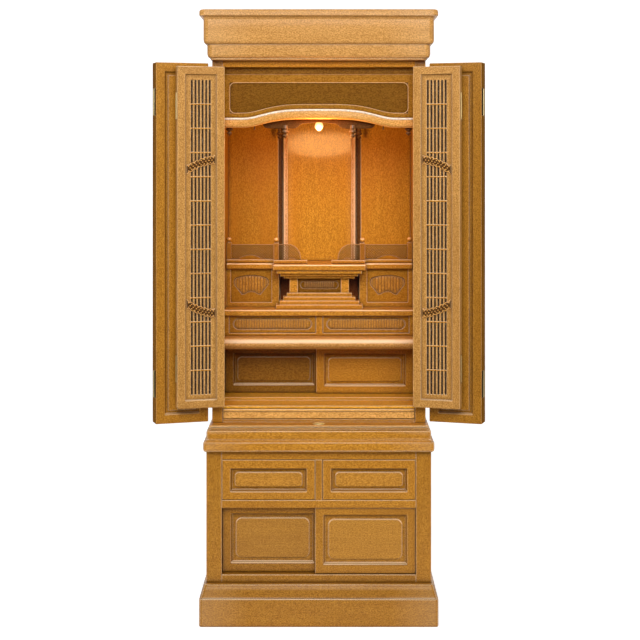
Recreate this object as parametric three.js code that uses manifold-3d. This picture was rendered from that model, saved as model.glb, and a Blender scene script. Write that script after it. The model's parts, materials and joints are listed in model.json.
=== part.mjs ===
// A household altar cabinet of panelled wood: plinth, drawer and cupboard body, ledge, upper altar
// niche with a moulded cap, folding panelled outer doors and folding lattice inner doors.
// Millimetres, +Z up, the front faces -Y. The origin is the middle of the plinth's underside.
import * as THREE from "three";
import { mergeVertices } from "three/addons/utils/BufferGeometryUtils.js";
import Module from "manifold-3d";

// Heights of the parts that stand on each other
const PLINTH_HEIGHT = 112;
const LOWER_HEIGHT = 352;
const LEDGE_HEIGHT = 71;
const UPPER_HEIGHT = 981;

// Plan of the body
const UPPER_WIDTH = 579;
const BODY_DEPTH = 465;
const LOWER_WIDTH = 605;
const LOWER_REACH = 35; // the lower body stands this far in front of the upper one
const MOULDING_REACH = 34.5; // the mouldings' front stands this much further out than their sides
const SIDE_THICKNESS = 20;
const BACK_THICKNESS = 9;
const BOARD_THICKNESS = 10;
const POST_WIDTH = 28.5;
const POST_DEPTH = 22;
const LOWER_POST_WIDTH = 41.5;
const RAIL_DEPTH = 41;

// Clearances
const SLIDE_GAP = 1; // around a drawer, a tray or a sliding door
const CUT_GAP = 0.3; // between a piece and the recess cut for it
const DOOR_GAP = 1; // between a closed leaf and what it closes against
const LEAF_MEETING = 4; // between the two middle leaves when they are closed
const LAP = 0.5; // how far the blocks of one piece reach into each other

// Plinth
const PLINTH_REACH = 30.5;
const PLINTH_SLOPE = 35; // height of the moulded part above its plain face
const PLINTH_TOP_INSET = 15;
const PLINTH_CORNER = 8;
const PLINTH_WALL = 20;
const PLINTH_BOARD = 12;

// Lower body
const BOTTOM_RAIL = 20.5;
const CUPBOARD_OPENING = 179;
const SHELF_RAIL = 21;
const DRAWER_OPENING = 109;
const STILE_WIDTH = 19;
const RUNNER_BOARD = 10;

// Cupboard doors behind the lower rails
const CUPBOARD_DOOR_THICKNESS = 14;
const CUPBOARD_DOOR_RECESS = 6;
const DOOR_TRACK_GAP = 3;
const CUPBOARD_DOOR_OVERLAP = 20;

// Drawers
const DRAWER_DEPTH = 400;
const DRAWER_WALL = 10;
const DRAWER_FRONT = 20;
const DRAWER_BASE = 6;
const DRAWER_BACK_DROP = 18; // sides and back end this much below the front's top
const DRAWER_SINK = 1; // behind the rails' front

// Frames round the fields of the fronts
const DRAWER_FRAME = { side: 22, top: 23, bottom: 21, sink: 12, field: 12, radius: 11, rise: 4 };
const CUPBOARD_FRAME = { side: 22, top: 18, bottom: 24, sink: 7, field: 14, radius: 16, rise: 3 };
const SHELF_DOOR_FRAME = { side: 23, top: 20, bottom: 20, sink: 7, field: 12, radius: 12, rise: 3 };

const FRAME_BEVEL = 4.5; // how far its inner edge slopes in

// Ledge, with the sunken brass catch
const LEDGE_BOARD = 22;
const LEDGE_FOOT_REACH = 14;
const LEDGE_FOOT_ROUND = 6;
const LEDGE_LOW_REACH = 20.5;
const LEDGE_LOW_TOP = 24;
const LEDGE_STEP_REACH = 12.3;
const LEDGE_STEP_FOOT = 35;
const LEDGE_STEP_TOP = 53;
const LEDGE_BEAD_REACH = 6.5;
const LEDGE_BEAD_FOOT = 63;
const LEDGE_CORNER = 8;
const CATCH_RADIUS = 17;
const CATCH_RIM = 2;
const CATCH_DEPTH = 9;
const CATCH_FLANGE = 1;
const CATCH_WALL = 2.2;
const CATCH_BACK = 19; // its middle stands this far in front of the upper posts

// Tray above the ledge
const TRAY_SILL = 9;
const TRAY_OPENING = 28;
const TRAY_DEPTH = 220;
const TRAY_LIP = 7;
const TRAY_LIP_DEPTH = 1.5;
const TRAY_SINK = 2; // behind the posts' front
const TRAY_FACE = 16;
const TRAY_BOARD = 14;

// Altar floor
const FLOOR_BOARD = 8;
const FLOOR_SINK = 5;
const FLOOR_RAIL_DEPTH = 20;
const FLOOR_FRONT = 3;
const SILL_RISE = 3;
const SILL_FRONT = 125;

// Doors and shelves inside the niche
const SHELF_DOOR_FRONT = 196;
const SHELF_DOOR_THICKNESS = 13;
const SHELF_DOOR_OPENING = 134;
const SHELF_DOOR_OVERLAP = 18;
const NOSING_FRONT = 115;
const NOSING_THICKNESS = 31;
const STEP_CASE_FRONT = 182;
const STEP_CASE_HEIGHT = 58;
const STEP_CASE_BASE = 8.5;
const STEP_CHEEK = 14;
const STEP_SHELF_FRONT = 170;
const STEP_SHELF_THICKNESS = 17.5;
const INNER_DEPTH = 400; // the shelves end here, behind the back panels
const STEP_DRAWER_DEPTH = 170;
const STEP_DRAWER_FRONT = 14;
const STEP_DRAWER_WALL = 7;
const STEP_DRAWER_DROP = 8;
const STEP_DRAWER_SINK = 2;
const STEP_PILL = { side: 10.5, bottom: 9, top: 7, sink: 3, ribs: 26 };
const STEP_SHELF_ROUND = 4;

// Altar
const ALTAR_HEIGHT = 126.5;
const ALTAR_SLAB = 18;
const ALTAR_FRONT = 188;
const ALTAR_WIDTH = 266;
const WING_FRONT = 246;
const WING_CASE_FRONT = 255;
const WING_INNER = 115.7;
const WING_DEPTH = 130;
const WING_STILE = 22;
const WING_END_STILE = 14;
const WING_FOOT_RAIL = 13;
const WING_WALL = 16;
const WING_SINK = 5;
const FAN_HALF = 52;
const FAN_HEIGHT = 56;
const FAN_BORDER = 2.5;
const FAN_SINK = 3;
const FAN_RIBS = 12;
const PEDESTAL_FRONT = 190;
const PEDESTAL_DEPTH = 63;
const PEDESTAL_BASE_WIDTH = 246;
const PEDESTAL_STEP = 10;
const PEDESTAL_LOW_STEPS = [11.5, 10.5, 10.5, 10];
const PEDESTAL_HIGH_STEPS = [7, 8, 8];
const PEDESTAL_HEAD_INSET = 2; // of its widest upper step from the base's end
const WAIST_INSET = 36;
const WAIST_PANEL = 124;
const WAIST_SINK = 4;
const WAIST_PILL = { width: 110, bottom: 12, top: 8, sink: 2.5, ribs: 14 };

// Railings
const BASE_BOARD_HEIGHT = 10;
const RAILING_HEIGHT = 43;
const RAILING_THICKNESS = 6;
const OUTER_RAILING_FRONT = 257;
const INNER_RAILING_FRONT = 224;
const RAILING_BASE_DEPTH = 20;
const POST_SIZE = 14.6;
const POST_HEIGHT = 49;
const BALL_RADIUS = 7;
const INNER_BASE_END = 35;
const INNER_POST_PLACE = 123.5;
const INNER_PANEL_END = 55;
const INNER_PANEL_SWEEP = 34;
const RAILING_SETBACK = 6; // the panel stands this far behind the base board's front
const OUTER_RAILING_MARGIN = 1;
const OUTER_ARCH_RISE = 20;
const OUTER_ARCH_HALF = 32;
const RAILING_GAP = 0.5;

// Back panels
const BACK_CENTRE_WIDTH = 212.6;
const BACK_CENTRE_FRONT = 355;
const BACK_CENTRE_THICKNESS = 20;
const BACK_CENTRE_EDGE = 5;
const BACK_CENTRE_SINK = 2;
const BACK_SIDE_FRONT = 372;
const BACK_SIDE_THICKNESS = 8;
const BACK_GAP = 16;

// Cap: reaches beyond the upper sides and heights above its foot
const CAP_HEIGHT = 134;
const CAP_STRIP_HEIGHT = 5.5;
const CAP_STEP_REACH = 10.6;
const CAP_STEP_FOOT = 17;
const CAP_STEP_TOP = 41.6;
const CAP_FASCIA_REACH = 20;
const CAP_FASCIA_FOOT = 53;
const CAP_FASCIA_TOP = 109;
const CAP_LIP_REACH = 30.5;
const CAP_LIP_FOOT = 117;
const CAP_LIP_TOP = 128;
const CAP_ROOF = 15;
const CAP_CORNER = 14;

// Head of the niche
const HEADER_HEIGHT = 16.5;
const HEADER_DEPTH = 18;
const CEILING_BOARD = 8;
const CEILING_RISE = 3.5; // above the header rail's underside
const FRIEZE_FRONT = 28;
const FRIEZE_THICKNESS = 12;
const FRIEZE_BAND = 22;
const FRIEZE_BAND_SINK = 6;
const FRIEZE_FIELD_BORDER = 18;
const FRIEZE_FIELD_FOOT = 12; // above the lintel's top edge
const FRIEZE_FIELD_HEAD = 23; // below the band
const FRIEZE_FIELD_SINK = 2.5;
const FRIEZE_DROP = 152;
const LINTEL_BACK = 47;
const LINTEL_BAND = 27;
const LINTEL_BEVEL = 5;
const LINTEL_DROP = 168; // from the ceiling to the underside of its level ends
const LINTEL_RISE = 24;
const LINTEL_SPRING = 208; // from the middle to where the arch meets its level ends
const LINTEL_FLATTEN = 1.95; // how far the arch is flattened towards its middle
const ARCH_STEPS = 32;
const VALANCE_THICKNESS = 8;
const VALANCE_WIDTH = 316;
const PENDANT_LENGTH = 32;
const PENDANT_RADIUS = 7;
const PENDANT_PLACE = 92;
const PENDANT_END_PLACE = 246;
const LAMP_PLACE = 95;
const LAMP_RADIUS = 12;
const LAMP_HEIGHT = 46;
const LAMP_ROD = 3;

// Outer doors: two leaves a side, laid over the posts
const OUTER_OVERHANG = 2;
const OUTER_PIN_OUT = 4;
const OUTER_THICKNESS = 22;
const OUTER_FOOT_GAP = 3;
const OUTER_HEAD_GAP = 6.5;
const OUTER_STILE = 26;
const OUTER_OPEN = 162;

// Lattice doors: two leaves a side, between the posts
const LATTICE_THICKNESS = 15;
const LATTICE_FOOT_GAP = 2;
const LATTICE_HEAD_GAP = 1.5;
const LATTICE_PIN_IN = 0.5;
const LATTICE_STILE = 22;
const LATTICE_SINK = 3.5;
const LATTICE_OPEN = 165;
const SLOT_COLUMNS = 6;
const SLOT_PITCH = 9.7;
const SLOT_WIDTH = 4.8;
const SLOT_DEPTH = 4;
const SLOT_BORDER = 14.5;

// Two carved bands on each middle lattice leaf: share of the leaf's height, and which way the arch turns
const ORNAMENTS = [
  { share: 0.712, turn: 1 },
  { share: 0.291, turn: -1 },
];
const ORNAMENT_WIDTH = 76;
const ORNAMENT_HEIGHT = 24;
const ORNAMENT_RISE = 26;
const ORNAMENT_PROUD = 2.5;

// Hinges on the folds
const LEAF_JOINT = 1; // between two leaves of one side
const FOLD_PROUD = 0.5; // the pin stands this far off the faces that fold together
const BARREL_RADIUS = 3;
const HINGE_LENGTH = 72;
const HINGE_INSET = 70; // from the end of the leaf to the near end of the hinge
const PLATE_THICKNESS = 1.2;

const upperHalf = UPPER_WIDTH / 2;
const lowerHalf = LOWER_WIDTH / 2;
const plinthDepth = BODY_DEPTH + MOULDING_REACH + PLINTH_REACH;
const back = plinthDepth / 2;
const front = back - BODY_DEPTH; // the front plane of the upper posts
const upperInner = upperHalf - SIDE_THICKNESS;
const niche = upperHalf - POST_WIDTH;
const lowerInner = lowerHalf - SIDE_THICKNESS;
const lowerOpening = lowerHalf - LOWER_POST_WIDTH;
const lowerFront = front - LOWER_REACH;
const railBack = lowerFront + RAIL_DEPTH;

const zLower = PLINTH_HEIGHT;
const zCupboard = zLower + BOTTOM_RAIL;
const zShelfRail = zCupboard + CUPBOARD_OPENING;
const zDrawers = zShelfRail + SHELF_RAIL;
const zTopRail = zDrawers + DRAWER_OPENING;
const zLedge = zLower + LOWER_HEIGHT;
const zUpper = zLedge + LEDGE_HEIGHT;
const zTray = zUpper + TRAY_SILL;
const zFloor = zTray + TRAY_OPENING + FLOOR_BOARD;
const zSill = zFloor + SILL_RISE;
const zNosing = zSill + SHELF_DOOR_OPENING;
const zStepCase = zNosing + NOSING_THICKNESS;
const zStepShelf = zStepCase + STEP_CASE_HEIGHT;
const zAltar = zStepShelf + STEP_SHELF_THICKNESS;
const zAltarTop = zAltar + ALTAR_HEIGHT;
const zCap = zUpper + UPPER_HEIGHT;
const zHeader = zCap - HEADER_HEIGHT;
const zCeiling = zHeader + CEILING_RISE;
const zLintel = zCeiling - LINTEL_DROP;

const wasm = await Module();
wasm.setup();

const wood = (color) =>
  new THREE.MeshStandardMaterial({ color, roughness: 0.45, metalness: 0 });
const goldenWood = wood(0xc58a3c);
const lightWood = wood(0xd9a45a);
const darkWood = wood(0x8a5a22);
const umberWood = wood(0x4a2c12);
const brass = new THREE.MeshStandardMaterial({ color: 0xd8b45a, roughness: 0.3, metalness: 1 });
const lampGlass = new THREE.MeshStandardMaterial({ color: 0xfff0c8, roughness: 0.2, metalness: 0 });

// A closed geometry as a solid that can be joined and cut
function solidOf(geometry) {
  const bare = geometry.index ? geometry.toNonIndexed() : geometry.clone();
  bare.deleteAttribute("normal");
  bare.deleteAttribute("uv");
  const merged = mergeVertices(bare, 1e-4);
  return new wasm.Manifold(
    new wasm.Mesh({
      numProp: 3,
      vertProperties: merged.attributes.position.array,
      triVerts: new Uint32Array(merged.index.array),
    }),
  );
}

function geometryOf(solid) {
  const mesh = solid.getMesh();
  const geometry = new THREE.BufferGeometry();
  geometry.setAttribute("position", new THREE.BufferAttribute(mesh.vertProperties, 3));
  geometry.setIndex(new THREE.BufferAttribute(mesh.triVerts, 1));
  geometry.computeVertexNormals();
  return geometry;
}

const join = (...solids) => solids.flat().reduce((a, b) => a.add(b));
const cut = (solid, ...tools) => tools.flat().reduce((a, b) => a.subtract(b), solid);

// A board given by its two limits along each axis
function board(x0, x1, y0, y1, z0, z1) {
  const geometry = new THREE.BoxGeometry(x1 - x0, y1 - y0, z1 - z0);
  geometry.translate((x0 + x1) / 2, (y0 + y1) / 2, (z0 + z1) / 2);
  return solidOf(geometry);
}

// An outline in x and z, seen from the front, made solid from y0 back to y1
function facing(shape, y0, y1, bevel = 0, segments = 6) {
  const geometry = new THREE.ExtrudeGeometry(shape, {
    depth: y1 - y0 - 2 * bevel,
    bevelEnabled: bevel > 0,
    bevelThickness: bevel,
    bevelSize: bevel,
    bevelOffset: -bevel,
    bevelSegments: 2,
    curveSegments: segments,
  });
  geometry.translate(0, 0, bevel);
  geometry.rotateX(Math.PI / 2);
  geometry.translate(0, y1, 0);
  return solidOf(geometry);
}

// An outline in y and z, seen from the right, made solid from x0 to x1
function running(shape, x0, x1, segments = 4) {
  const geometry = new THREE.ExtrudeGeometry(shape, {
    depth: x1 - x0,
    bevelEnabled: false,
    curveSegments: segments,
  });
  const turn = new THREE.Matrix4().makeBasis(
    new THREE.Vector3(0, 1, 0),
    new THREE.Vector3(0, 0, 1),
    new THREE.Vector3(1, 0, 0),
  );
  geometry.applyMatrix4(turn);
  geometry.translate(x0, 0, 0);
  return solidOf(geometry);
}

function rod(x, y, z0, z1, radius, sides = 12) {
  const geometry = new THREE.CylinderGeometry(radius, radius, z1 - z0, sides);
  geometry.rotateX(Math.PI / 2);
  geometry.translate(x, y, (z0 + z1) / 2);
  return solidOf(geometry);
}

// A turned piece: radii and heights from its foot up, standing at x, y
function turned(profile, x, y, z, sides = 8) {
  const geometry = new THREE.LatheGeometry(
    profile.map(([radius, height]) => new THREE.Vector2(radius, height)),
    sides,
  );
  geometry.rotateX(Math.PI / 2);
  geometry.translate(x, y, z);
  return solidOf(geometry);
}

function panelShape(x0, x1, z0, z1, radius = 0) {
  const shape = new THREE.Shape();
  if (radius <= 0) {
    shape.moveTo(x0, z0).lineTo(x1, z0).lineTo(x1, z1).lineTo(x0, z1);
    return shape;
  }
  shape.moveTo(x0 + radius, z0);
  shape.lineTo(x1 - radius, z0);
  shape.absarc(x1 - radius, z0 + radius, radius, -Math.PI / 2, 0, false);
  shape.lineTo(x1, z1 - radius);
  shape.absarc(x1 - radius, z1 - radius, radius, 0, Math.PI / 2, false);
  shape.lineTo(x0 + radius, z1);
  shape.absarc(x0 + radius, z1 - radius, radius, Math.PI / 2, Math.PI, false);
  shape.lineTo(x0, z0 + radius);
  shape.absarc(x0 + radius, z0 + radius, radius, Math.PI, 1.5 * Math.PI, false);
  return shape;
}

// A raised or sunken field with a sloping edge all round, between its foot and its face
function pyramidField(x0, x1, z0, z1, yFoot, yFace, slope) {
  const at = (inset, y) => [
    [x0 + inset, y, z0 + inset],
    [x0 + inset, y, z1 - inset],
    [x1 - inset, y, z1 - inset],
    [x1 - inset, y, z0 + inset],
  ];
  return loft([at(0, yFoot), at(slope, yFace)]);
}

// Closed body between rings of points: every ring runs the same way, anticlockwise seen from its end
function loft(rings) {
  const count = rings[0].length;
  const points = rings.flat();
  const faces = [];
  for (let k = 0; k + 1 < rings.length; k += 1) {
    for (let i = 0; i < count; i += 1) {
      const a = k * count + i;
      const b = k * count + ((i + 1) % count);
      faces.push(a, b, b + count, a, b + count, a + count);
    }
  }
  const last = (rings.length - 1) * count;
  for (let i = 1; i + 1 < count; i += 1) {
    faces.push(0, i + 1, i);
    faces.push(last, last + i, last + i + 1);
  }
  const geometry = new THREE.BufferGeometry();
  geometry.setAttribute("position", new THREE.Float32BufferAttribute(points.flat(), 3));
  geometry.setIndex(faces);
  return solidOf(geometry);
}

// A moulding that runs round the front and the sides and ends flat at the back.
// The profile holds pairs of reach beyond the upper body's side and height above z.
function moulding(profile, z, cornerRadius) {
  const corner = 3;
  const rings = profile.map(([reach, height]) => {
    const half = upperHalf + reach;
    const edge = front - MOULDING_REACH - reach;
    const ring = [[half, back, z + height], [-half, back, z + height]];
    for (const [side, from] of [[-1, Math.PI], [1, 1.5 * Math.PI]]) {
      for (let i = 0; i <= corner; i += 1) {
        const angle = from + (i / corner) * (Math.PI / 2);
        ring.push([
          side * (half - cornerRadius) + cornerRadius * Math.cos(angle),
          edge + cornerRadius + cornerRadius * Math.sin(angle),
          z + height,
        ]);
      }
    }
    return ring;
  });
  return loft(rings);
}

// A quarter round as profile points from one place to another, bulging outwards or hollow
function quarter(from, to, bulge, steps = 3) {
  const points = [];
  for (let i = 0; i <= steps; i += 1) {
    const t = (i / steps) * (Math.PI / 2);
    const across = bulge ? Math.sin(t) : 1 - Math.cos(t);
    const along = bulge ? 1 - Math.cos(t) : Math.sin(t);
    points.push([from[0] + (to[0] - from[0]) * across, from[1] + (to[1] - from[1]) * along]);
  }
  return points;
}

const cabinet = new THREE.Group();

function place(name, solid, material, parent = cabinet) {
  const mesh = new THREE.Mesh(geometryOf(solid), material);
  mesh.name = name;
  parent.add(mesh);
  return mesh;
}

const SIDES = [
  ["left", -1],
  ["right", 1],
];

// A board on one side, mirrored by the sign
function sideBoard(sign, a, b, y0, y1, z0, z1) {
  return board(Math.min(sign * a, sign * b), Math.max(sign * a, sign * b), y0, y1, z0, z1);
}

// A door or drawer front: frame members all round a sunken ground with a raised field.
// The front face is at y = 0 and the piece reaches back to y = thickness.
function framedPanel({ x0, x1, z0, z1, thickness, side, top, bottom, sink, field, radius, rise }) {
  const slab = board(x0, x1, 0, thickness, z0, z1);
  const sunk = pyramidField(x0 + side, x1 - side, z0 + bottom, z1 - top, -1, sink, FRAME_BEVEL);
  const ground = cut(slab, sunk);
  const inner = panelShape(
    x0 + side + field,
    x1 - side - field,
    z0 + bottom + field,
    z1 - top - field,
    radius,
  );
  return join(ground, facing(inner, sink - rise, sink + 1, 0, 3));
}

// A drawer box behind its front, open at the top
function drawerBox(x0, x1, y0, y1, z0, z1, wall) {
  const outer = board(x0, x1, y0, y1, z0, z1);
  return cut(outer, board(x0 + wall, x1 - wall, y0 - 1, y1 - wall, z0 + DRAWER_BASE, z1 + 1));
}

function makePlinth() {
  const zStep = PLINTH_HEIGHT - PLINTH_SLOPE;
  const slope = [
    [1.2, -1],
    [3, 0],
    [5, 7],
    [8, 17],
    [10.5, 27],
    [12.5, 32],
    [PLINTH_TOP_INSET, PLINTH_SLOPE],
  ].map(([inset, rise]) => [PLINTH_REACH - inset, zStep + rise]);
  const outer = moulding(
    [[PLINTH_REACH, 0], [PLINTH_REACH, zStep - 4], ...slope],
    0,
    PLINTH_CORNER,
  );
  const wallBack = back - PLINTH_WALL;
  const topReach = PLINTH_REACH - PLINTH_TOP_INSET;
  const wallFront = front - MOULDING_REACH - topReach + PLINTH_WALL;
  const hollow = upperHalf + topReach - PLINTH_WALL;
  return cut(
    outer,
    board(-hollow, hollow, wallFront, wallBack, PLINTH_BOARD, PLINTH_HEIGHT + 1),
  );
}

// Side board with its front post, as an L in plan
function bodySide(sign, half, postWidth, y0, postDepth, z0, z1) {
  return join(
    sideBoard(sign, half - SIDE_THICKNESS, half, y0, back, z0, z1),
    sideBoard(sign, half - postWidth, half, y0, y0 + postDepth, z0, z1),
  );
}

function makeLowerBody() {
  for (const [side, sign] of SIDES) {
    place(
      "lower_side_" + side,
      bodySide(sign, lowerHalf, LOWER_POST_WIDTH, lowerFront, RAIL_DEPTH, zLower, zLedge),
      goldenWood,
    );
  }
  place(
    "lower_back",
    board(-lowerInner, lowerInner, back - BACK_THICKNESS, back, zLower, zLedge),
    darkWood,
  );
  const backFace = back - BACK_THICKNESS;
  place(
    "lower_bottom",
    join(
      board(-lowerOpening, lowerOpening, lowerFront, railBack, zLower, zCupboard),
      board(-lowerInner, lowerInner, railBack, backFace, zLower, zLower + RUNNER_BOARD),
    ),
    goldenWood,
  );
  place(
    "drawer_shelf",
    join(
      board(-lowerOpening, lowerOpening, lowerFront, railBack, zShelfRail, zDrawers),
      board(-lowerInner, lowerInner, railBack, backFace, zDrawers - RUNNER_BOARD, zDrawers),
    ),
    goldenWood,
  );
  const stile = STILE_WIDTH / 2;
  place("drawer_divider", board(-stile, stile, lowerFront, backFace, zDrawers, zTopRail), goldenWood);
  place(
    "top_rail",
    board(-lowerOpening, lowerOpening, lowerFront, railBack, zTopRail, zLedge),
    goldenWood,
  );
}

function makeDrawers() {
  const x0 = STILE_WIDTH / 2 + SLIDE_GAP;
  const x1 = lowerOpening - SLIDE_GAP;
  const z0 = SLIDE_GAP;
  const z1 = DRAWER_OPENING - SLIDE_GAP;
  for (const [side, sign] of SIDES) {
    const group = new THREE.Group();
    group.position.set((sign * (x0 + x1)) / 2, lowerFront + DRAWER_SINK, zDrawers);
    const half = (x1 - x0) / 2;
    const face = framedPanel({
      x0: -half,
      x1: half,
      z0,
      z1,
      thickness: DRAWER_FRONT,
      ...DRAWER_FRAME,
    });
    const box = drawerBox(
      -half,
      half,
      DRAWER_FRONT - LAP,
      DRAWER_DEPTH,
      z0,
      z1 - DRAWER_BACK_DROP,
      DRAWER_WALL,
    );
    place("drawer_" + side, join(face, box), goldenWood, group);
    cabinet.add(group);
  }
}

function makeCupboardDoors() {
  const z0 = zCupboard + SLIDE_GAP;
  const z1 = zShelfRail - SLIDE_GAP;
  const width = lowerOpening + CUPBOARD_DOOR_OVERLAP / 2 - SLIDE_GAP;
  SIDES.forEach(([side, sign], track) => {
    const group = new THREE.Group();
    const inFront = track === 1;
    const step = inFront ? 0 : CUPBOARD_DOOR_THICKNESS + DOOR_TRACK_GAP;
    group.position.set(
      sign * (lowerOpening - SLIDE_GAP - width / 2),
      lowerFront + CUPBOARD_DOOR_RECESS + step,
      0,
    );
    const door = framedPanel({
      x0: -width / 2,
      x1: width / 2,
      z0,
      z1,
      thickness: CUPBOARD_DOOR_THICKNESS,
      ...CUPBOARD_FRAME,
    });
    place("cupboard_door_" + side, door, goldenWood, group);
    cabinet.add(group);
  });
}

function makeLedge() {
  const profile = [
    ...quarter([LEDGE_FOOT_REACH, 0], [LEDGE_LOW_REACH, LEDGE_FOOT_ROUND], true, 2),
    [LEDGE_LOW_REACH, LEDGE_LOW_TOP],
    [LEDGE_LOW_REACH - 1.5, LEDGE_LOW_TOP + 4],
    [LEDGE_STEP_REACH + 3.7, LEDGE_LOW_TOP + 5.5],
    [LEDGE_STEP_REACH + 0.7, LEDGE_STEP_FOOT - 3],
    [LEDGE_STEP_REACH, LEDGE_STEP_FOOT],
    [LEDGE_STEP_REACH, LEDGE_STEP_TOP],
    [LEDGE_STEP_REACH - 1.3, LEDGE_STEP_TOP + 4],
    [LEDGE_BEAD_REACH + 1.5, LEDGE_BEAD_FOOT - 4],
    [LEDGE_BEAD_REACH, LEDGE_BEAD_FOOT],
    [LEDGE_BEAD_REACH, LEDGE_HEIGHT - 3],
    [LEDGE_BEAD_REACH - 2, LEDGE_HEIGHT],
  ];
  const outer = moulding(profile, zLedge, LEDGE_CORNER);
  const hollow = board(
    -lowerInner,
    lowerInner,
    railBack,
    back - BACK_THICKNESS,
    zLedge - 1,
    zUpper - LEDGE_BOARD,
  );
  const trayRail = board(-niche, niche, front + TRAY_SINK, front + POST_DEPTH, zUpper - LAP, zTray);
  const shell = CATCH_RADIUS - CATCH_RIM;
  const socket = rod(0, front - CATCH_BACK, zUpper - CATCH_DEPTH, zUpper + 2, shell, 24);
  place("ledge", cut(join(outer, trayRail), hollow, socket), goldenWood);

  const cup = join(
    rod(0, 0, -CATCH_DEPTH + CUT_GAP, CATCH_FLANGE, shell - CUT_GAP, 24),
    rod(0, 0, 0, CATCH_FLANGE, CATCH_RADIUS, 24),
  );
  const bowl = rod(0, 0, -CATCH_DEPTH + CATCH_WALL, 2 * CATCH_FLANGE, shell - CATCH_WALL, 24);
  const catchCup = place("door_catch", cut(cup, bowl), brass);
  catchCup.position.set(0, front - CATCH_BACK, zUpper);
}

function makeTray() {
  const half = niche - SLIDE_GAP;
  const z0 = SLIDE_GAP;
  const z1 = TRAY_OPENING - SLIDE_GAP;
  const group = new THREE.Group();
  group.position.set(0, front + TRAY_SINK, zTray);
  const face = cut(
    board(-half, half, 0, TRAY_FACE, z0, z1),
    board(-half - 1, half + 1, -1, TRAY_LIP_DEPTH, z0 - 1, z1 - TRAY_LIP),
  );
  const slab = board(-half, half, TRAY_FACE - LAP, TRAY_DEPTH, z1 - TRAY_BOARD, z1);
  place("tray", join(face, slab), lightWood, group);
  cabinet.add(group);
}

function makeUpperBody() {
  for (const [side, sign] of SIDES) {
    place(
      "upper_side_" + side,
      bodySide(sign, upperHalf, POST_WIDTH, front, POST_DEPTH, zUpper, zCap),
      goldenWood,
    );
  }
  place(
    "upper_back",
    board(-upperInner, upperInner, back - BACK_THICKNESS, back, zUpper, zCap),
    darkWood,
  );
  const postBack = front + POST_DEPTH;
  const floorBack = back - BACK_THICKNESS;
  const zBase = zFloor - FLOOR_BOARD;
  place(
    "altar_floor",
    join(
      board(-niche, niche, front + FLOOR_FRONT, postBack, zBase, zFloor),
      board(-upperInner, upperInner, postBack, floorBack, zBase, zFloor - FLOOR_SINK),
      board(-upperInner, upperInner, postBack, front + FLOOR_FRONT + FLOOR_RAIL_DEPTH, zBase, zFloor),
      board(-upperInner, upperInner, front + SILL_FRONT, floorBack, zBase, zSill),
    ),
    lightWood,
  );
}

function makeCap() {
  const profile = [
    [OUTER_OVERHANG, 0],
    [OUTER_OVERHANG, CAP_STRIP_HEIGHT],
    ...quarter([OUTER_OVERHANG + 3, CAP_STRIP_HEIGHT], [CAP_STEP_REACH, CAP_STEP_FOOT], true, 3),
    [CAP_STEP_REACH, CAP_STEP_TOP],
    ...quarter([CAP_STEP_REACH + 2.9, CAP_STEP_TOP], [CAP_FASCIA_REACH, CAP_FASCIA_FOOT], true, 3),
    ...quarter([CAP_FASCIA_REACH, CAP_FASCIA_TOP], [CAP_LIP_REACH, CAP_LIP_FOOT], false, 2),
    [CAP_LIP_REACH, CAP_LIP_TOP],
    [CAP_LIP_REACH - 1.5, CAP_HEIGHT - 1.5],
    [CAP_LIP_REACH - 4.5, CAP_HEIGHT],
  ];
  const outer = moulding(profile, zCap, CAP_CORNER);
  const hollow = board(
    -upperInner,
    upperInner,
    front + HEADER_DEPTH,
    back - BACK_THICKNESS,
    zCap - 1,
    zCap + CAP_HEIGHT - CAP_ROOF,
  );
  place("cap", cut(outer, hollow), goldenWood);
  place(
    "header_rail",
    board(-niche, niche, front, front + HEADER_DEPTH, zHeader, zCap),
    darkWood,
  );
  place(
    "ceiling",
    cut(
      board(
        -upperInner,
        upperInner,
        front + HEADER_DEPTH,
        back - BACK_THICKNESS,
        zCeiling,
        zCeiling + CEILING_BOARD,
      ),
      ...SIDES.map(([, sign]) =>
        sideBoard(sign, niche, upperHalf, front - 1, front + POST_DEPTH, zCeiling - 1, zCap),
      ),
    ),
    darkWood,
  );
}

// Height of the lintel's underside above its foot, at a distance x from the middle
function archRise(x) {
  const t = Math.min(1, Math.abs(x) / LINTEL_SPRING) ** LINTEL_FLATTEN;
  return LINTEL_RISE * 0.5 * (1 + Math.cos(Math.PI * t));
}

function archShape(half, low, high, lowRise, highRise, steps) {
  const shape = new THREE.Shape();
  shape.moveTo(-half, low + archRise(half) * lowRise);
  for (let i = 1; i <= steps; i += 1) {
    const x = -half + (2 * half * i) / steps;
    shape.lineTo(x, low + archRise(x) * lowRise);
  }
  for (let i = steps; i >= 0; i -= 1) {
    const x = -half + (2 * half * i) / steps;
    if (highRise > 0 || i === 0 || i === steps) shape.lineTo(x, high + archRise(x) * highRise);
  }
  return shape;
}

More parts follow.
